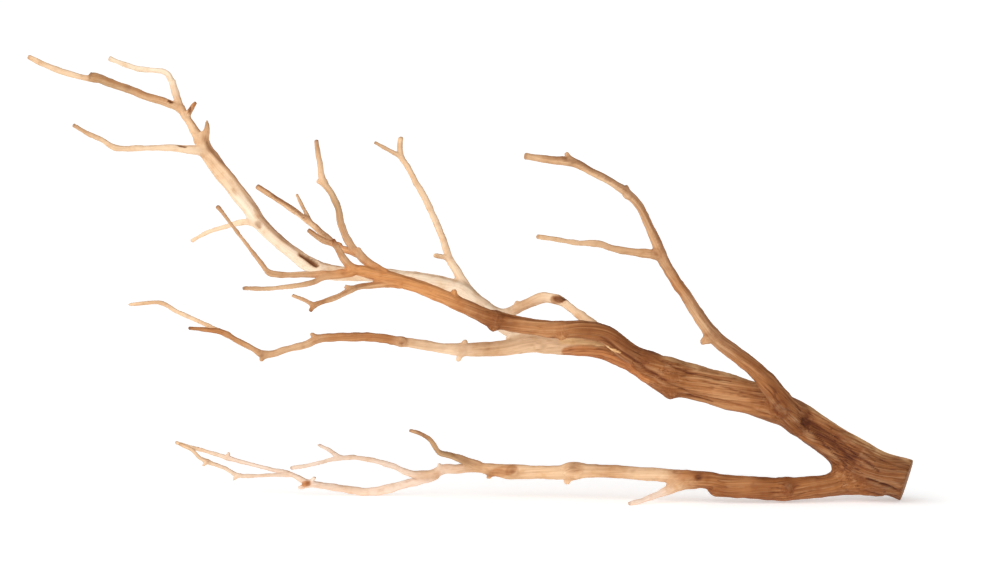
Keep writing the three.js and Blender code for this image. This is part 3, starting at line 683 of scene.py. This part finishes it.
# old bud scars: small darker bumps scattered along every limb
seeded = np.random.default_rng(11)
for limb in limbs:
    length = limb["arc"][-1]
    if length < 30 or limb["name"] == "trunk":
        continue
    for arc in np.arange(seeded.uniform(8, 20), length - 5, buds["every"]):
        at = np.interp(arc + seeded.uniform(-8, 8), limb["arc"], np.arange(len(limb["arc"])))
        centre = blendRows(limb["points"], np.array([at]))[0]
        size = blendRows(limb["radius"], np.array([at]))[0]
        angle = seeded.uniform(0, 2 * math.pi)
        up, side = limb["normal"][int(at)], limb["side"][int(at)]
        spot = centre + size * (up * math.cos(angle) + side * math.sin(angle))
        wide = buds["size"] * seeded.uniform(0.7, 1.3)
        close = np.where(np.abs(points - spot).max(1) < 3 * wide)[0]
        amount = np.exp(-((np.linalg.norm(points[close] - spot, axis=1) / wide) ** 2))
        lift[close] += amount * buds["height"] * seeded.uniform(0.3, 1.2) * min(1, size / 3)
        hollow[close] = np.maximum(hollow[close], amount * buds["dark"] * seeded.uniform(0.2, 1.2))
lift *= grown
points = points + normals * lift[:, None]
points[:, 2] = np.maximum(points[:, 2], 0)
beyondCut = (points - cutMiddle) @ cutFacing
points -= cutFacing * np.maximum(beyondCut, 0)[:, None]
setPoints(skin, (points + origin) / 1000)
normals = meshNormals(skin)
# low places and the forks' creases are darkened as painted shade, and high places are rubbed pale
wearAndShade = dict(rounds=10, least=0.05, lowest=0.7, highest=0.6, lowShare=0.8, forkShare=0.3)  # heights in mm
around = lift[:, None]
for _ in range(wearAndShade["rounds"]):
    around = neighbourMean(around, edges)
lower = around[:, 0] - lift
fork = sum(smooth(0.08, 0.5, weights[0] * weights[rank] * 2) for rank in (1, 2))
# painted shade: darker in low places and in the forks' creases
paintedCreaseShade = smooth(wearAndShade["least"], wearAndShade["lowest"], lower) * wearAndShade["lowShare"]
paintedCreaseShade = np.clip(paintedCreaseShade + fork * wearAndShade["forkShare"] * smooth(1, 6, radius), 0, 1) * grown
rubbed = smooth(wearAndShade["least"], wearAndShade["highest"], -lower) * grown * (1 - smooth(0.1, 0.5, furrow))
print("carved", np.percentile(lower, [1, 10, 50, 90, 99]).round(2))

# The tones of bare wood, from new pale wood to old brown, and where each limb has which: pairs of the share
# of the way from its root to its tip and the tone there.
tones = dict(
    bone="fce6cb", cream="f9dab8", straw="facf98", blush="f3dbc8", peach="eec9a2", honey="ddb38a",
    tan="d0a47c", dusk="c7a47c", amber="e3a064", rust="d0884f", fawn="c88e5c", brown="a96e3d",
    umber="986136", bark="956136",
)
limbTones = dict(
    trunk="0 bark 0.2 umber 0.35 brown 0.52 brown 0.64 fawn 0.74 fawn 0.84 brown 1 brown",
    frontLimb="0 umber 0.26 brown 0.32 fawn 0.44 fawn 0.5 brown 0.55 brown 0.61 fawn 0.7 amber 1 amber",
    frontUprightSpur="0 amber 0.35 honey 0.8 tan 1 brown",
    frontTallTwig="0 amber 0.2 honey 0.4 tan 0.55 dusk 0.75 peach 1 tan",
    frontLongTwig="0 amber 0.3 honey 0.6 peach 1 honey",
    frontSplitTwig="0 amber 0.5 honey 1 tan",
    frontThinTwig="0 honey 1 peach",
    frontBentTwig="0 amber 0.3 honey 0.65 tan 0.75 honey 1 tan",
    frontLowTwig="0 amber 0.4 honey 0.7 peach 1 tan",
    frontHookedTwig="0 amber 0.4 tan 0.7 honey 1 fawn",
    frontHookTip="0 tan 1 honey",
    lowLimb="0 umber 0.1 brown 0.16 fawn 0.2 peach 0.3 peach 0.36 honey 0.44 cream 0.53 peach 0.57 fawn"
    " 0.69 fawn 0.74 honey 0.86 honey 0.93 fawn 1 fawn",
    lowPaleTwig="0 honey 0.4 cream 0.7 honey 1 peach",
    rearLimb="0 cream 0.15 bone 0.3 bone 0.4 bone 0.48 cream 0.54 bone 0.76 bone 0.84 cream"
    " 0.93 peach 1 peach",
    rearLeftBranch="0 peach 0.2 honey 0.5 honey 1 dusk",
    rearLeftTip="0 honey 0.3 cream 1 peach",
    rearTopBranch="0 peach 0.4 bone 1 bone",
    rearSmallSpur="0 peach 1 fawn",
    rearSpike="0 peach 0.6 honey 1 dusk",
    rearSideBranch="0 cream 0.6 cream 0.8 peach 1 honey",
    rearDroopingTwig="0 cream 0.5 cream 1 cream",
    forkedBranch="0 cream 0.4 cream 0.8 peach 1 peach",
    forkedBranchTwig="0 peach 1 honey",
    forkedBranchSpur="0 cream 1 peach",
    bowedBranch="0 peach 0.5 cream 0.75 honey 0.9 cream 1 cream",
    archBranch="0 umber 0.13 brown 0.24 fawn 0.3 tan 0.37 honey 0.43 tan 0.48 fawn 0.53 tan 0.58 honey"
    " 0.69 tan 0.8 peach 0.92 honey 1 honey",
    archSideTwig="0 honey 0.4 honey 1 peach",
    groundBranch="0 brown 0.15 brown 0.28 brown 0.33 fawn 0.38 brown 0.42 brown 0.48 fawn 0.53 peach"
    " 0.6 peach 0.66 honey 0.75 peach 0.85 peach 1 honey",
    groundFrontFoot="0 honey 0.25 peach 0.5 blush 1 blush",
    groundRaisedTwig="0 tan 0.4 dusk 1 tan",
    groundRestingTwig="0 honey 0.3 blush 1 blush",
    groundMiddleTwig="0 honey 0.3 blush 1 blush",
    groundMiddleFork="0 blush 1 blush",
    groundUpperTip="0 blush 0.5 blush 1 peach",
    groundLowerTip="0 blush 1 peach",
)


def linear(hexTone):
    parts = [int(hexTone[i : i + 2], 16) / 255 for i in (0, 2, 4)]
    return [p / 12.92 if p <= 0.04045 else ((p + 0.055) / 1.055) ** 2.4 for p in parts]


def toneAlong(text, share):
    words = text.split()
    stops = np.array([float(w) for w in words[::2]])
    colours = np.array([linear(tones[w]) for w in words[1::2]])
    return np.column_stack([np.interp(share, stops, colours[:, c]) for c in range(3)])


# a stub or web has the tones of the limb that it stands on
parents = {}
for number, limb in enumerate(limbs):
    if limb["name"] not in limbTones:
        root = limb["points"][:1]
        apart = [
            (roundLimb(other, root)["gap"][0], i)
            for i, other in enumerate(limbs)
            if other["name"] in limbTones and other is not limb
        ]
        parents[number] = min(apart)[1]
tone = np.zeros((len(points), 3))
for n, weight in zip(near, weights):
    for number in range(len(limbs)):
        use = (n["limb"] == number) & (weight > 0.001)
        if not use.any():
            continue
        owner = parents.get(number, number)
        if owner == number:
            share = n["arc"][use] / limbs[number]["arc"][-1]
        else:
            there = roundLimb(limbs[owner], limbs[number]["points"][-1:])
            share = np.full(use.sum(), there["arc"][0] / limbs[owner]["arc"][-1])
        along = toneAlong(limbTones[limbs[owner]["name"]], np.clip(share, 0, 1))
        tone[use] += weight[use, None] * along

# Patches of another tone: the points that one follows, its width, its tone, how much of it, how much narrower
# its far end gets, and how much a distance in depth counts (less than 1 lets it spread from front to back).
patches = [
    (
        [(-275, 2, 130), (-267, 1, 130), (-259, 1, 130.5), (-251, 0, 130), (-243, -3, 128),
         (-237, -9, 126), (-229, -13, 122)],
        6, "straw", 1.0, 0.75, 0.3,
    ),  # the pale sapwood over the scar
    (
        [(-271, 2, 121), (-265, 0, 121), (-253, -1, 121), (-241, -1, 117), (-233, -2, 113),
         (-225, -2, 107), (-210, -6, 97)],
        9, "rust", 0.85, 0, 0.3,
    ),  # the scar itself
    ([(-481, 24, 11), (-484, 24, 10)], 5, "rust", 0.9, 0, 1),
    ([(-281, 24, 161), (-273, 21, 161)], 7, "fawn", 0.8, 0, 1),
    ([(-506, -13, 249), (-492, -16, 240), (-480, -21, 231)], 3.4, "brown", 0.35, 0, 1),
    ([(-560, -29, 143), (-572, -33, 144)], 6, "brown", 0.6, 0, 1),
    ([(-267, 2, 27), (-262, 1, 27)], 10, "honey", 0.7, 0, 1),
    ([(-315, 10, 24), (-330, 14, 20)], 9, "fawn", 0.7, 0, 1),
]
# Painted light in bands along one side of a limb: a painted highlight along the trunk's top edge, and painted
# shade on the upper and right-hand sides of the other limbs. Each gives the limb, where it starts and stops in
# mm from the root, the way that side faces, how narrow it is as the cosine of its half angle, its tone and how
# much of it.
paintedLightBands = [
    # painted highlight: a pale rim of light along the trunk's top edge
    ("trunk", 4, 128, (0.62, 0.1, 0.78), 0.9, "straw", 0.9),
    ("trunk", 150, 250, (0.35, 0.1, 0.93), 0.92, "straw", 0.8),
    # painted shade: darker bands on the upper and right-hand sides of the limbs and twigs
    ("archBranch", 30, 330, (0.75, -0.3, 0.55), 0.55, "umber", 0.65),
    ("rearLimb", 120, 480, (0.8, -0.25, 0.5), 0.68, "fawn", 0.6),
    ("frontSplitTwig", 0, 140, (0.5, -0.25, 0.8), 0.5, "brown", 0.6),
    ("frontLongTwig", 20, 200, (0.7, -0.25, 0.6), 0.5, "brown", 0.5),
    ("frontHookedTwig", 0, 120, (0.2, -0.3, 0.9), 0.5, "brown", 0.5),
    ("rearLeftBranch", 0, 90, (0.2, -0.3, 0.9), 0.5, "fawn", 0.6),
    ("rearTopBranch", 0, 24, (0.9, -0.4, 0), 0.2, "fawn", 0.7),
]
for path, width, toneName, most, taper, depthShare in patches:
    squash = np.array([1, depthShare, 1])
    apart, run = pathDistance(points * squash, [p * squash for p in snapped(points, path)])
    wide = width * (1 + 0.15 * smallLump) * (1 - taper * smooth(0.3, 1, run))
    amount = (1 - smooth(0.4, 0.58, apart / wide)) * most
    tone += amount[:, None] * (np.array(linear(tones[toneName])) - tone)
bandEdge = dict(inside=0.07, outside=0.2, ragged=0.06, fadeBefore=10, fadeAfter=25)  # cosines, then mm
for name, start, stop, facing, narrow, toneName, most in paintedLightBands:
    ragged = bandEdge["ragged"] * smallLump + bandEdge["ragged"] * lump
    towards = normals @ np.array(Vector(facing).normalized())
    side = smooth(narrow - bandEdge["outside"], narrow + bandEdge["inside"], towards + ragged)
    for n, weight in zip(near, weights):
        ends = smooth(-bandEdge["fadeBefore"], bandEdge["fadeAfter"], n["arc"] - start)
        ends = ends * smooth(-bandEdge["fadeBefore"], bandEdge["fadeAfter"], stop - n["arc"])
        amount = side * ends * weight * (n["limb"] == limbNames.index(name)) * most
        tone += amount[:, None] * (np.array(linear(tones[toneName])) - tone)

# The limbs are shared out over three sets of grain coordinates, so that limbs that meet have different ones
# as far as three can be made to do.
meets = {i: set() for i in range(len(limbs))}
for a, b in ((0, 1), (0, 2), (1, 2)):
    both = (weights[a] > 0.001) & (weights[b] > 0.001)
    for i, j in set(zip(near[a]["limb"][both], near[b]["limb"][both])):
        meets[i].add(j)
        meets[j].add(i)
slots = {}
for i in sorted(meets, key=lambda i: -len(meets[i])):
    taken = [slots[j] for j in meets[i] if j in slots]
    slots[i] = min(range(3), key=lambda k: (taken.count(k), k))
slotOf = np.array([slots[i] for i in range(len(limbs))])
fibrePlaces, fibreShares = np.zeros((3, len(points), 3)), np.zeros((len(points), 3))
strongest = np.zeros((3, len(points)))
for n, weight in zip(near, weights):
    turn = grain["twist"] * n["arc"]
    u = n["u"] * np.cos(turn) - n["v"] * np.sin(turn)
    v = n["u"] * np.sin(turn) + n["v"] * np.cos(turn)
    place = np.column_stack([u + 31 * n["limb"], v, n["arc"]])
    for k in range(3):
        use = (slotOf[n["limb"]] == k) & (weight > strongest[k])
        fibrePlaces[k][use] = place[use]
        strongest[k][use] = weight[use]
        mine = slotOf[n["limb"]] == k
        fibreShares[mine, k] += weight[mine]


def giveAttribute(name, kind, values):
    attribute = skin.attributes.new(name, kind, "POINT")
    if kind == "FLOAT_COLOR":
        values = np.column_stack([values, np.ones(len(values))])
    field = dict(FLOAT="value", FLOAT_VECTOR="vector", FLOAT_COLOR="color")[kind]
    attribute.data.foreach_set(field, values.ravel())


for k in range(3):
    # a point outside a set's limbs takes its neighbours' place in it, so that no face spans two limbs
    empty = strongest[k] == 0
    for _ in range(3):
        filled = np.column_stack([fibrePlaces[k] * ~empty[:, None], (~empty).astype(float)])
        around = neighbourMean(filled, edges)
        ready = empty & (around[:, 3] > 0)
        fibrePlaces[k][ready] = around[ready, :3] / around[ready, 3:]
        empty &= ~ready
    giveAttribute("fibres" + "ABC"[k], "FLOAT_VECTOR", fibrePlaces[k])
giveAttribute("fibreShares", "FLOAT_VECTOR", fibreShares)
giveAttribute("tone", "FLOAT_COLOR", tone)
giveAttribute("hollow", "FLOAT", np.clip(hollow, 0, 1))
giveAttribute("knotRing", "FLOAT", np.clip(knotRing, 0, 1) * grown)
giveAttribute("furrow", "FLOAT", furrow)
# the painted shade of the low places and the forks' creases
giveAttribute("paintedCreaseShade", "FLOAT", paintedCreaseShade)
giveAttribute("rubbed", "FLOAT", rubbed)
giveAttribute("thickness", "FLOAT", radius)
print("toned")

# Adds one node: its kind, the values or sockets that go into its inputs, and its settings.
def node(tree, kind, inputs=None, **settings):
    made = tree.nodes.new(kind if kind.startswith("Node") else "ShaderNode" + kind)
    for name, value in settings.items():
        setattr(made, name, value)
    for name, value in (inputs or {}).items():
        if isinstance(value, bpy.types.NodeSocket):
            tree.links.new(value, made.inputs[name])
        else:
            made.inputs[name].default_value = value
    return made


# The grain: each pattern's size in mm across the fibres and along them, and its detail. Real fibres are a
# tenth of a millimetre across, so they are drawn about eight times as coarse, to show at all.
barePattern = dict(
    streak=(1.8, 120, 2.2),
    fibre=(0.8, 42, 1.6),
    check=(2.4, 75, 1.2),
    checkWidth=0.035,  # a crack runs where the check noise is within this of its middle
    blotch=38,  # sizes in mm
    mottle=6.5,
    shadedSide=(0.5, 0.25, 0.83),  # the way that the side darkened by painted shade faces, in x, y and z
    # how much more the cracks and the fibres show in the big hollow
    furrowCracks=0.8,
    furrowFibres=1.6,
    mostRubbed=0.12,
    roughness=(0.62, 0.86),
    bump=0.35,  # in mm
    bumpShare=0.6,
)

fibreGroup = bpy.data.node_groups.new("fibrePattern", "ShaderNodeTree")
fibreGroup.interface.new_socket("Place", in_out="INPUT", socket_type="NodeSocketVector")
fibreGroup.interface.new_socket("Pattern", in_out="OUTPUT", socket_type="NodeSocketVector")
placeIn = node(fibreGroup, "NodeGroupInput").outputs[0]
patternParts = {}
for part in ("streak", "fibre", "check"):
    across, along, detail = barePattern[part]
    scaled = node(
        fibreGroup, "VectorMath", {0: placeIn, 1: (1 / across, 1 / across, 1 / along)}, operation="MULTIPLY"
    ).outputs[0]
    patternParts[part] = node(
        fibreGroup, "TexNoise", {"Vector": scaled, "Scale": 1.0, "Detail": detail, "Roughness": 0.55}
    ).outputs[0]
offMiddle = node(fibreGroup, "Math", {0: patternParts["check"], 1: 0.5}, operation="SUBTRACT").outputs[0]
offMiddle = node(fibreGroup, "Math", {0: offMiddle}, operation="ABSOLUTE").outputs[0]
checkLine = node(
    fibreGroup, "MapRange",
    {
        "Value": offMiddle, "From Min": 0.0, "From Max": barePattern["checkWidth"],
        "To Min": 1.0, "To Max": 0.0,
    },
    interpolation_type="SMOOTHSTEP",
).outputs[0]
packed = node(fibreGroup, "CombineXYZ", {0: patternParts["streak"], 1: patternParts["fibre"], 2: checkLine})
fibreGroup.links.new(packed.outputs[0], node(fibreGroup, "NodeGroupOutput").inputs[0])

# Bare wood that water and sun have worked on: fibres stand a little proud, the soft wood between them is worn
# away, and dirt and tannin sit in the cracks and hollows. Painted shade darkens its creases, its low places
# and the side of each limb that faces up and to the right. It is dry.
bareWood = bpy.data.materials.new("bareDriftwood")
bareWood.use_nodes = True
tree = bareWood.node_tree
tree.nodes.clear()
carved = {
    name: node(tree, "Attribute", attribute_name=name).outputs["Fac"]
    for name in ("hollow", "knotRing", "furrow", "paintedCreaseShade", "rubbed", "thickness")
}
shares = node(tree, "Attribute", attribute_name="fibreShares").outputs["Vector"]
shares = node(tree, "SeparateXYZ", {0: shares}).outputs
pattern = (0, 0, 0)
for letter, share in zip("ABC", shares):
    grouped = node(tree, "Group", node_tree=fibreGroup)
    place = node(tree, "Attribute", attribute_name="fibres" + letter).outputs["Vector"]
    tree.links.new(place, grouped.inputs[0])
    part = node(tree, "VectorMath", {0: grouped.outputs[0], "Scale": share}, operation="SCALE").outputs[0]
    pattern = node(tree, "VectorMath", {0: part, 1: pattern}, operation="ADD").outputs[0]
streak, fibre, check = node(tree, "SeparateXYZ", {0: pattern}).outputs
tone = node(tree, "Attribute", attribute_name="tone").outputs["Color"]
brightness = node(tree, "RGBToBW", {0: tone}).outputs[0]
objectPlace = node(tree, "TexCoord").outputs["Object"]
mottle = node(
    tree, "TexNoise", {"Vector": objectPlace, "Scale": 1000 / barePattern["mottle"], "Detail": 3.0}
).outputs[0]
blotch = node(
    tree, "TexNoise", {"Vector": objectPlace, "Scale": 1000 / barePattern["blotch"], "Detail": 3.0}
).outputs[0]
# how far each point faces the side that is darkened by painted shade
facing = node(
    tree, "VectorMath", {0: node(tree, "NewGeometry").outputs["Normal"], 1: barePattern["shadedSide"]},
    operation="DOT_PRODUCT",
).outputs[1]

# How much there is of what lies over the tone: the thing that it follows, from where to where, and how much
# of it there is at either end.
amounts = dict(
    grain=(brightness, 0.16, 0.75, 1.0, 0.26),  # dark old wood shows its grain more than pale new wood does
    streakDark=(streak, 0.58, 0.38, 0.0, 0.62),
    streakLight=(streak, 0.5, 0.68, 0.0, 0.12),
    fibreDark=(fibre, 0.62, 0.38, 0.0, 0.55),
    blotch=(blotch, 0.42, 0.66, 0.0, 0.6),
    mottle=(mottle, 0.48, 0.72, 0.0, 0.6),
    thick=(carved["thickness"], 2.0, 9.0, 0.2, 0.75),
    # painted shade on the side facing up and to the right, made patchy by the mottle
    paintedSideShade=(facing, 0.5, 0.97, 0.0, 0.85),
    patchy=(mottle, 0.35, 0.6, 0.6, 1.0),
)
amount = {}
for name, (follows, low, high, least, most) in amounts.items():
    amount[name] = node(
        tree, "MapRange",
        {"Value": follows, "From Min": low, "From Max": high, "To Min": least, "To Max": most},
        interpolation_type="SMOOTHSTEP",
    ).outputs[0]
lines = node(
    tree, "Math", {0: carved["furrow"], 1: barePattern["furrowCracks"], 2: amount["thick"]},
    operation="MULTIPLY_ADD",
).outputs[0]
fibreShare = node(
    tree, "Math", {0: carved["furrow"], 1: barePattern["furrowFibres"], 2: amount["grain"]},
    operation="MULTIPLY_ADD",
).outputs[0]
shareOf = {}
for name, first, second in (
    ("streakDark", amount["streakDark"], amount["grain"]),
    ("streakLight", amount["streakLight"], amount["grain"]),
    ("fibreDark", amount["fibreDark"], fibreShare),
    ("check", check, lines),
    ("rubbed", carved["rubbed"], barePattern["mostRubbed"]),
    # painted shade on the side facing up and to the right
    ("paintedSideShade", amount["paintedSideShade"], amount["patchy"]),
):
    shareOf[name] = node(
        tree, "Math", {0: first, 1: second}, operation="MULTIPLY", use_clamp=True
    ).outputs[0]
shareOf["checkDark"] = node(
    tree, "Math", {0: shareOf["check"], 1: amount["grain"]}, operation="MULTIPLY"
).outputs[0]

# what lies over the tone, from the bottom up, with its colour
layers = [
    (shareOf["streakDark"], (0.76, 0.66, 0.55), "MULTIPLY"),  # dense late wood
    (shareOf["streakLight"], (0.90, 0.66, 0.42), "MIX"),  # raised fibres, scoured pale
    (shareOf["fibreDark"], (0.66, 0.56, 0.47), "MULTIPLY"),  # dirt between single fibres
    (amount["blotch"], (0.90, 0.80, 0.69), "MULTIPLY"),  # tannin, drawn out of the wood by water
    (amount["mottle"], (0.85, 0.73, 0.60), "MULTIPLY"),
    (shareOf["checkDark"], (0.42, 0.28, 0.18), "MULTIPLY"),  # drying cracks
    (carved["hollow"], (0.34, 0.20, 0.095), "MULTIPLY"),  # grooves, scars and worn ends, and lines of painted shade
    (carved["paintedCreaseShade"], (0.62, 0.45, 0.31), "MULTIPLY"),  # painted shade in low places and the forks' creases
    (shareOf["rubbed"], linear("f2cda0"), "MIX"),  # high places, rubbed clean
    (carved["knotRing"], (0.62, 0.44, 0.29), "MULTIPLY"),  # the dense wood round a knot
    (shareOf["paintedSideShade"], (0.64, 0.53, 0.44), "MULTIPLY"),  # painted shade on the side that faces up and to the right
]
colour = tone
for share, shade, way in layers:
    colour = node(
        tree, "Mix", {"Factor": share, 6: colour, 7: (*shade, 1)}, data_type="RGBA", blend_type=way
    ).outputs[2]

rough = node(
    tree, "MapRange",
    {"Value": fibre, "To Min": barePattern["roughness"][0], "To Max": barePattern["roughness"][1]},
).outputs[0]
height = node(tree, "Math", {0: fibre, 1: 0.5, 2: streak}, operation="MULTIPLY_ADD").outputs[0]
height = node(tree, "Math", {0: check, 1: -0.5, 2: height}, operation="MULTIPLY_ADD").outputs[0]
bump = node(
    tree, "Bump",
    {"Height": height, "Strength": barePattern["bumpShare"], "Distance": barePattern["bump"] / 1000},
).outputs[0]
surface = node(
    tree, "BsdfPrincipled",
    {"Base Color": colour, "Roughness": rough, "IOR": 1.45, "Specular IOR Level": 0.3, "Normal": bump},
)
tree.links.new(surface.outputs[0], node(tree, "OutputMaterial").inputs[0])

# The saw cut: end grain, darker than new wood because it soaks up dirt, with growth rings and with fine
# drying cracks that run out from the pith.
endGrain = bpy.data.materials.new("sawnEndGrain")
endGrain.use_nodes = True
tree = endGrain.node_tree
tree.nodes.clear()
sawn = dict(
    pith=(3, -4, 13),  # placed in mm as the limbs are
    ring=1.7,  # spacing of the rings in mm
    wobble=120.0,  # how closely the rings wander, per m, and by how many m
    wander=0.0035,
    cracks=7,
    dirt=90.0,  # how closely the dirt is patched, per m
    bump=0.3,  # in mm
)
pith = (np.array(sawn["pith"]) + origin) / 1000
objectPlace = node(tree, "TexCoord").outputs["Object"]
fromPith = node(tree, "VectorMath", {0: objectPlace, 1: tuple(pith)}, operation="SUBTRACT").outputs[0]
wobble = node(tree, "TexNoise", {"Vector": objectPlace, "Scale": sawn["wobble"], "Detail": 3.0}).outputs[0]
distance = node(tree, "VectorMath", {0: fromPith}, operation="LENGTH").outputs[1]
rings = node(tree, "Math", {0: wobble, 1: sawn["wander"], 2: distance}, operation="MULTIPLY_ADD").outputs[0]
rings = node(tree, "Math", {0: rings, 1: 2000 * math.pi / sawn["ring"]}, operation="MULTIPLY").outputs[0]
rings = node(tree, "Math", {0: rings}, operation="SINE").outputs[0]
ringDark = node(
    tree, "MapRange", {"Value": rings, "From Min": 0.1, "From Max": 1.0, "To Min": 0.0, "To Max": 0.6}
).outputs[0]
spread = node(tree, "SeparateXYZ", {0: fromPith})
turned = node(tree, "Math", {0: spread.outputs[1], 1: spread.outputs[2]}, operation="ARCTAN2").outputs[0]
turned = node(tree, "Math", {0: wobble, 1: 0.5, 2: turned}, operation="MULTIPLY_ADD").outputs[0]
rays = node(tree, "Math", {0: turned, 1: float(sawn["cracks"])}, operation="MULTIPLY").outputs[0]
rays = node(tree, "Math", {0: rays}, operation="COSINE").outputs[0]
rayDark = node(
    tree, "MapRange", {"Value": rays, "From Min": 0.985, "From Max": 1.0, "To Min": 0.0, "To Max": 0.85}
).outputs[0]
dirt = node(tree, "TexNoise", {"Vector": objectPlace, "Scale": sawn["dirt"], "Detail": 4.0}).outputs[0]
dirtShare = node(
    tree, "MapRange", {"Value": dirt, "From Min": 0.45, "From Max": 0.7, "To Max": 0.5}
).outputs[0]
colour = (*linear("a3734a"), 1)
for share, shade, way in (
    (ringDark, linear("6e4528"), "MIX"),  # late wood
    (rayDark, linear("3f2616"), "MIX"),  # cracks
    (dirtShare, (0.7, 0.6, 0.52), "MULTIPLY"),
):
    colour = node(
        tree, "Mix", {"Factor": share, 6: colour, 7: (*shade, 1)}, data_type="RGBA", blend_type=way
    ).outputs[2]
height = node(tree, "Math", {0: rayDark, 1: -1.0, 2: ringDark}, operation="MULTIPLY_ADD").outputs[0]
bump = node(tree, "Bump", {"Height": height, "Strength": 0.5, "Distance": sawn["bump"] / 1000}).outputs[0]
surface = node(
    tree, "BsdfPrincipled", {"Base Color": colour, "Roughness": 0.88, "IOR": 1.45, "Normal": bump}
)
tree.links.new(surface.outputs[0], node(tree, "OutputMaterial").inputs[0])

skin.materials.append(bareWood)
skin.materials.append(endGrain)
faceCut = np.empty(len(skin.polygons) * 4, int)
skin.polygons.foreach_get("vertices", faceCut)
faceCut = (((points - cutMiddle) @ cutFacing)[faceCut.reshape(-1, 4)] > -0.05).all(1)
skin.polygons.foreach_set("material_index", faceCut.astype(int))
skin.polygons.foreach_set("use_smooth", np.ones(len(skin.polygons), bool))
skin.update()
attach(driftwood, "root")
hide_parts("driftwood_branch")
print("finished the wood:", len(skin.polygons) * 2, "triangles,", int(faceCut.sum()), "sawn faces")

# A plain white floor that glows a little, as a light table does, in a white tent.
studio = dict(
    floor=40.0,  # in m
    floorTone="f2f2f2",
    glow=0.39,
    tentDim=0.22,
    tentBright=1.83,
    brightSide=(-0.6, -0.75, -0.2),  # brightest at the front left
    dimTo=-0.65,  # the tent is dim up to this cosine with the bright side, and bright from the next one
    brightFrom=0.9,
)
bm = bmesh.new()
bmesh.ops.create_grid(bm, x_segments=1, y_segments=1, size=studio["floor"] / 2)
floorMesh = bpy.data.meshes.new("floor")
bm.to_mesh(floorMesh)
bm.free()
floor = bpy.data.objects.new("floor", floorMesh)
bpy.context.scene.collection.objects.link(floor)
paleFloor = bpy.data.materials.new("mattWhiteFloor")
paleFloor.use_nodes = True
floorSurface = paleFloor.node_tree.nodes["Principled BSDF"]
floorSurface.inputs["Base Color"].default_value = (*linear(studio["floorTone"]), 1)
floorSurface.inputs["Roughness"].default_value = 1.0
floorSurface.inputs["Specular IOR Level"].default_value = 0.0
floorSurface.inputs["Emission Color"].default_value = (1, 1, 1, 1)
floorSurface.inputs["Emission Strength"].default_value = studio["glow"]
floorMesh.materials.append(paleFloor)

tent = bpy.data.worlds.new("whiteTent")
tent.use_nodes = True
tree = tent.node_tree
tree.nodes.clear()
direction = node(tree, "TexCoord").outputs["Generated"]
towards = tuple(Vector(studio["brightSide"]).normalized())
facing = node(tree, "VectorMath", {0: direction, 1: towards}, operation="DOT_PRODUCT").outputs[1]
strength = node(
    tree, "MapRange",
    {
        "Value": facing, "From Min": studio["dimTo"], "From Max": studio["brightFrom"],
        "To Min": studio["tentDim"], "To Max": studio["tentBright"],
    },
    interpolation_type="SMOOTHSTEP",
).outputs[0]
light = node(tree, "Background", {"Color": (1, 1, 1, 1), "Strength": strength})
tree.links.new(light.outputs[0], node(tree, "OutputWorld").inputs[0])
bpy.context.scene.world = tent
bpy.context.scene.view_settings.view_transform = "Standard"

viewing = dict(
    target=(0.0268, -0.0171, 0.1692),  # in m, as the distance is
    distance=3.0,
    down=6,  # degrees that it looks down by
    lens=135,
    sensor=36,
    clipEnd=200,
)
cameraData = bpy.data.cameras.new("camera")
cameraData.lens = viewing["lens"]
cameraData.sensor_width = viewing["sensor"]
cameraData.clip_end = viewing["clipEnd"]
camera = bpy.data.objects.new("camera", cameraData)
down = math.radians(viewing["down"])
backwards = Vector((0, -math.cos(down), math.sin(down)))
camera.location = Vector(viewing["target"]) + viewing["distance"] * backwards
camera.rotation_euler = (math.pi / 2 - down, 0, 0)
bpy.context.scene.collection.objects.link(camera)
bpy.context.scene.camera = camera
print("lit and framed")
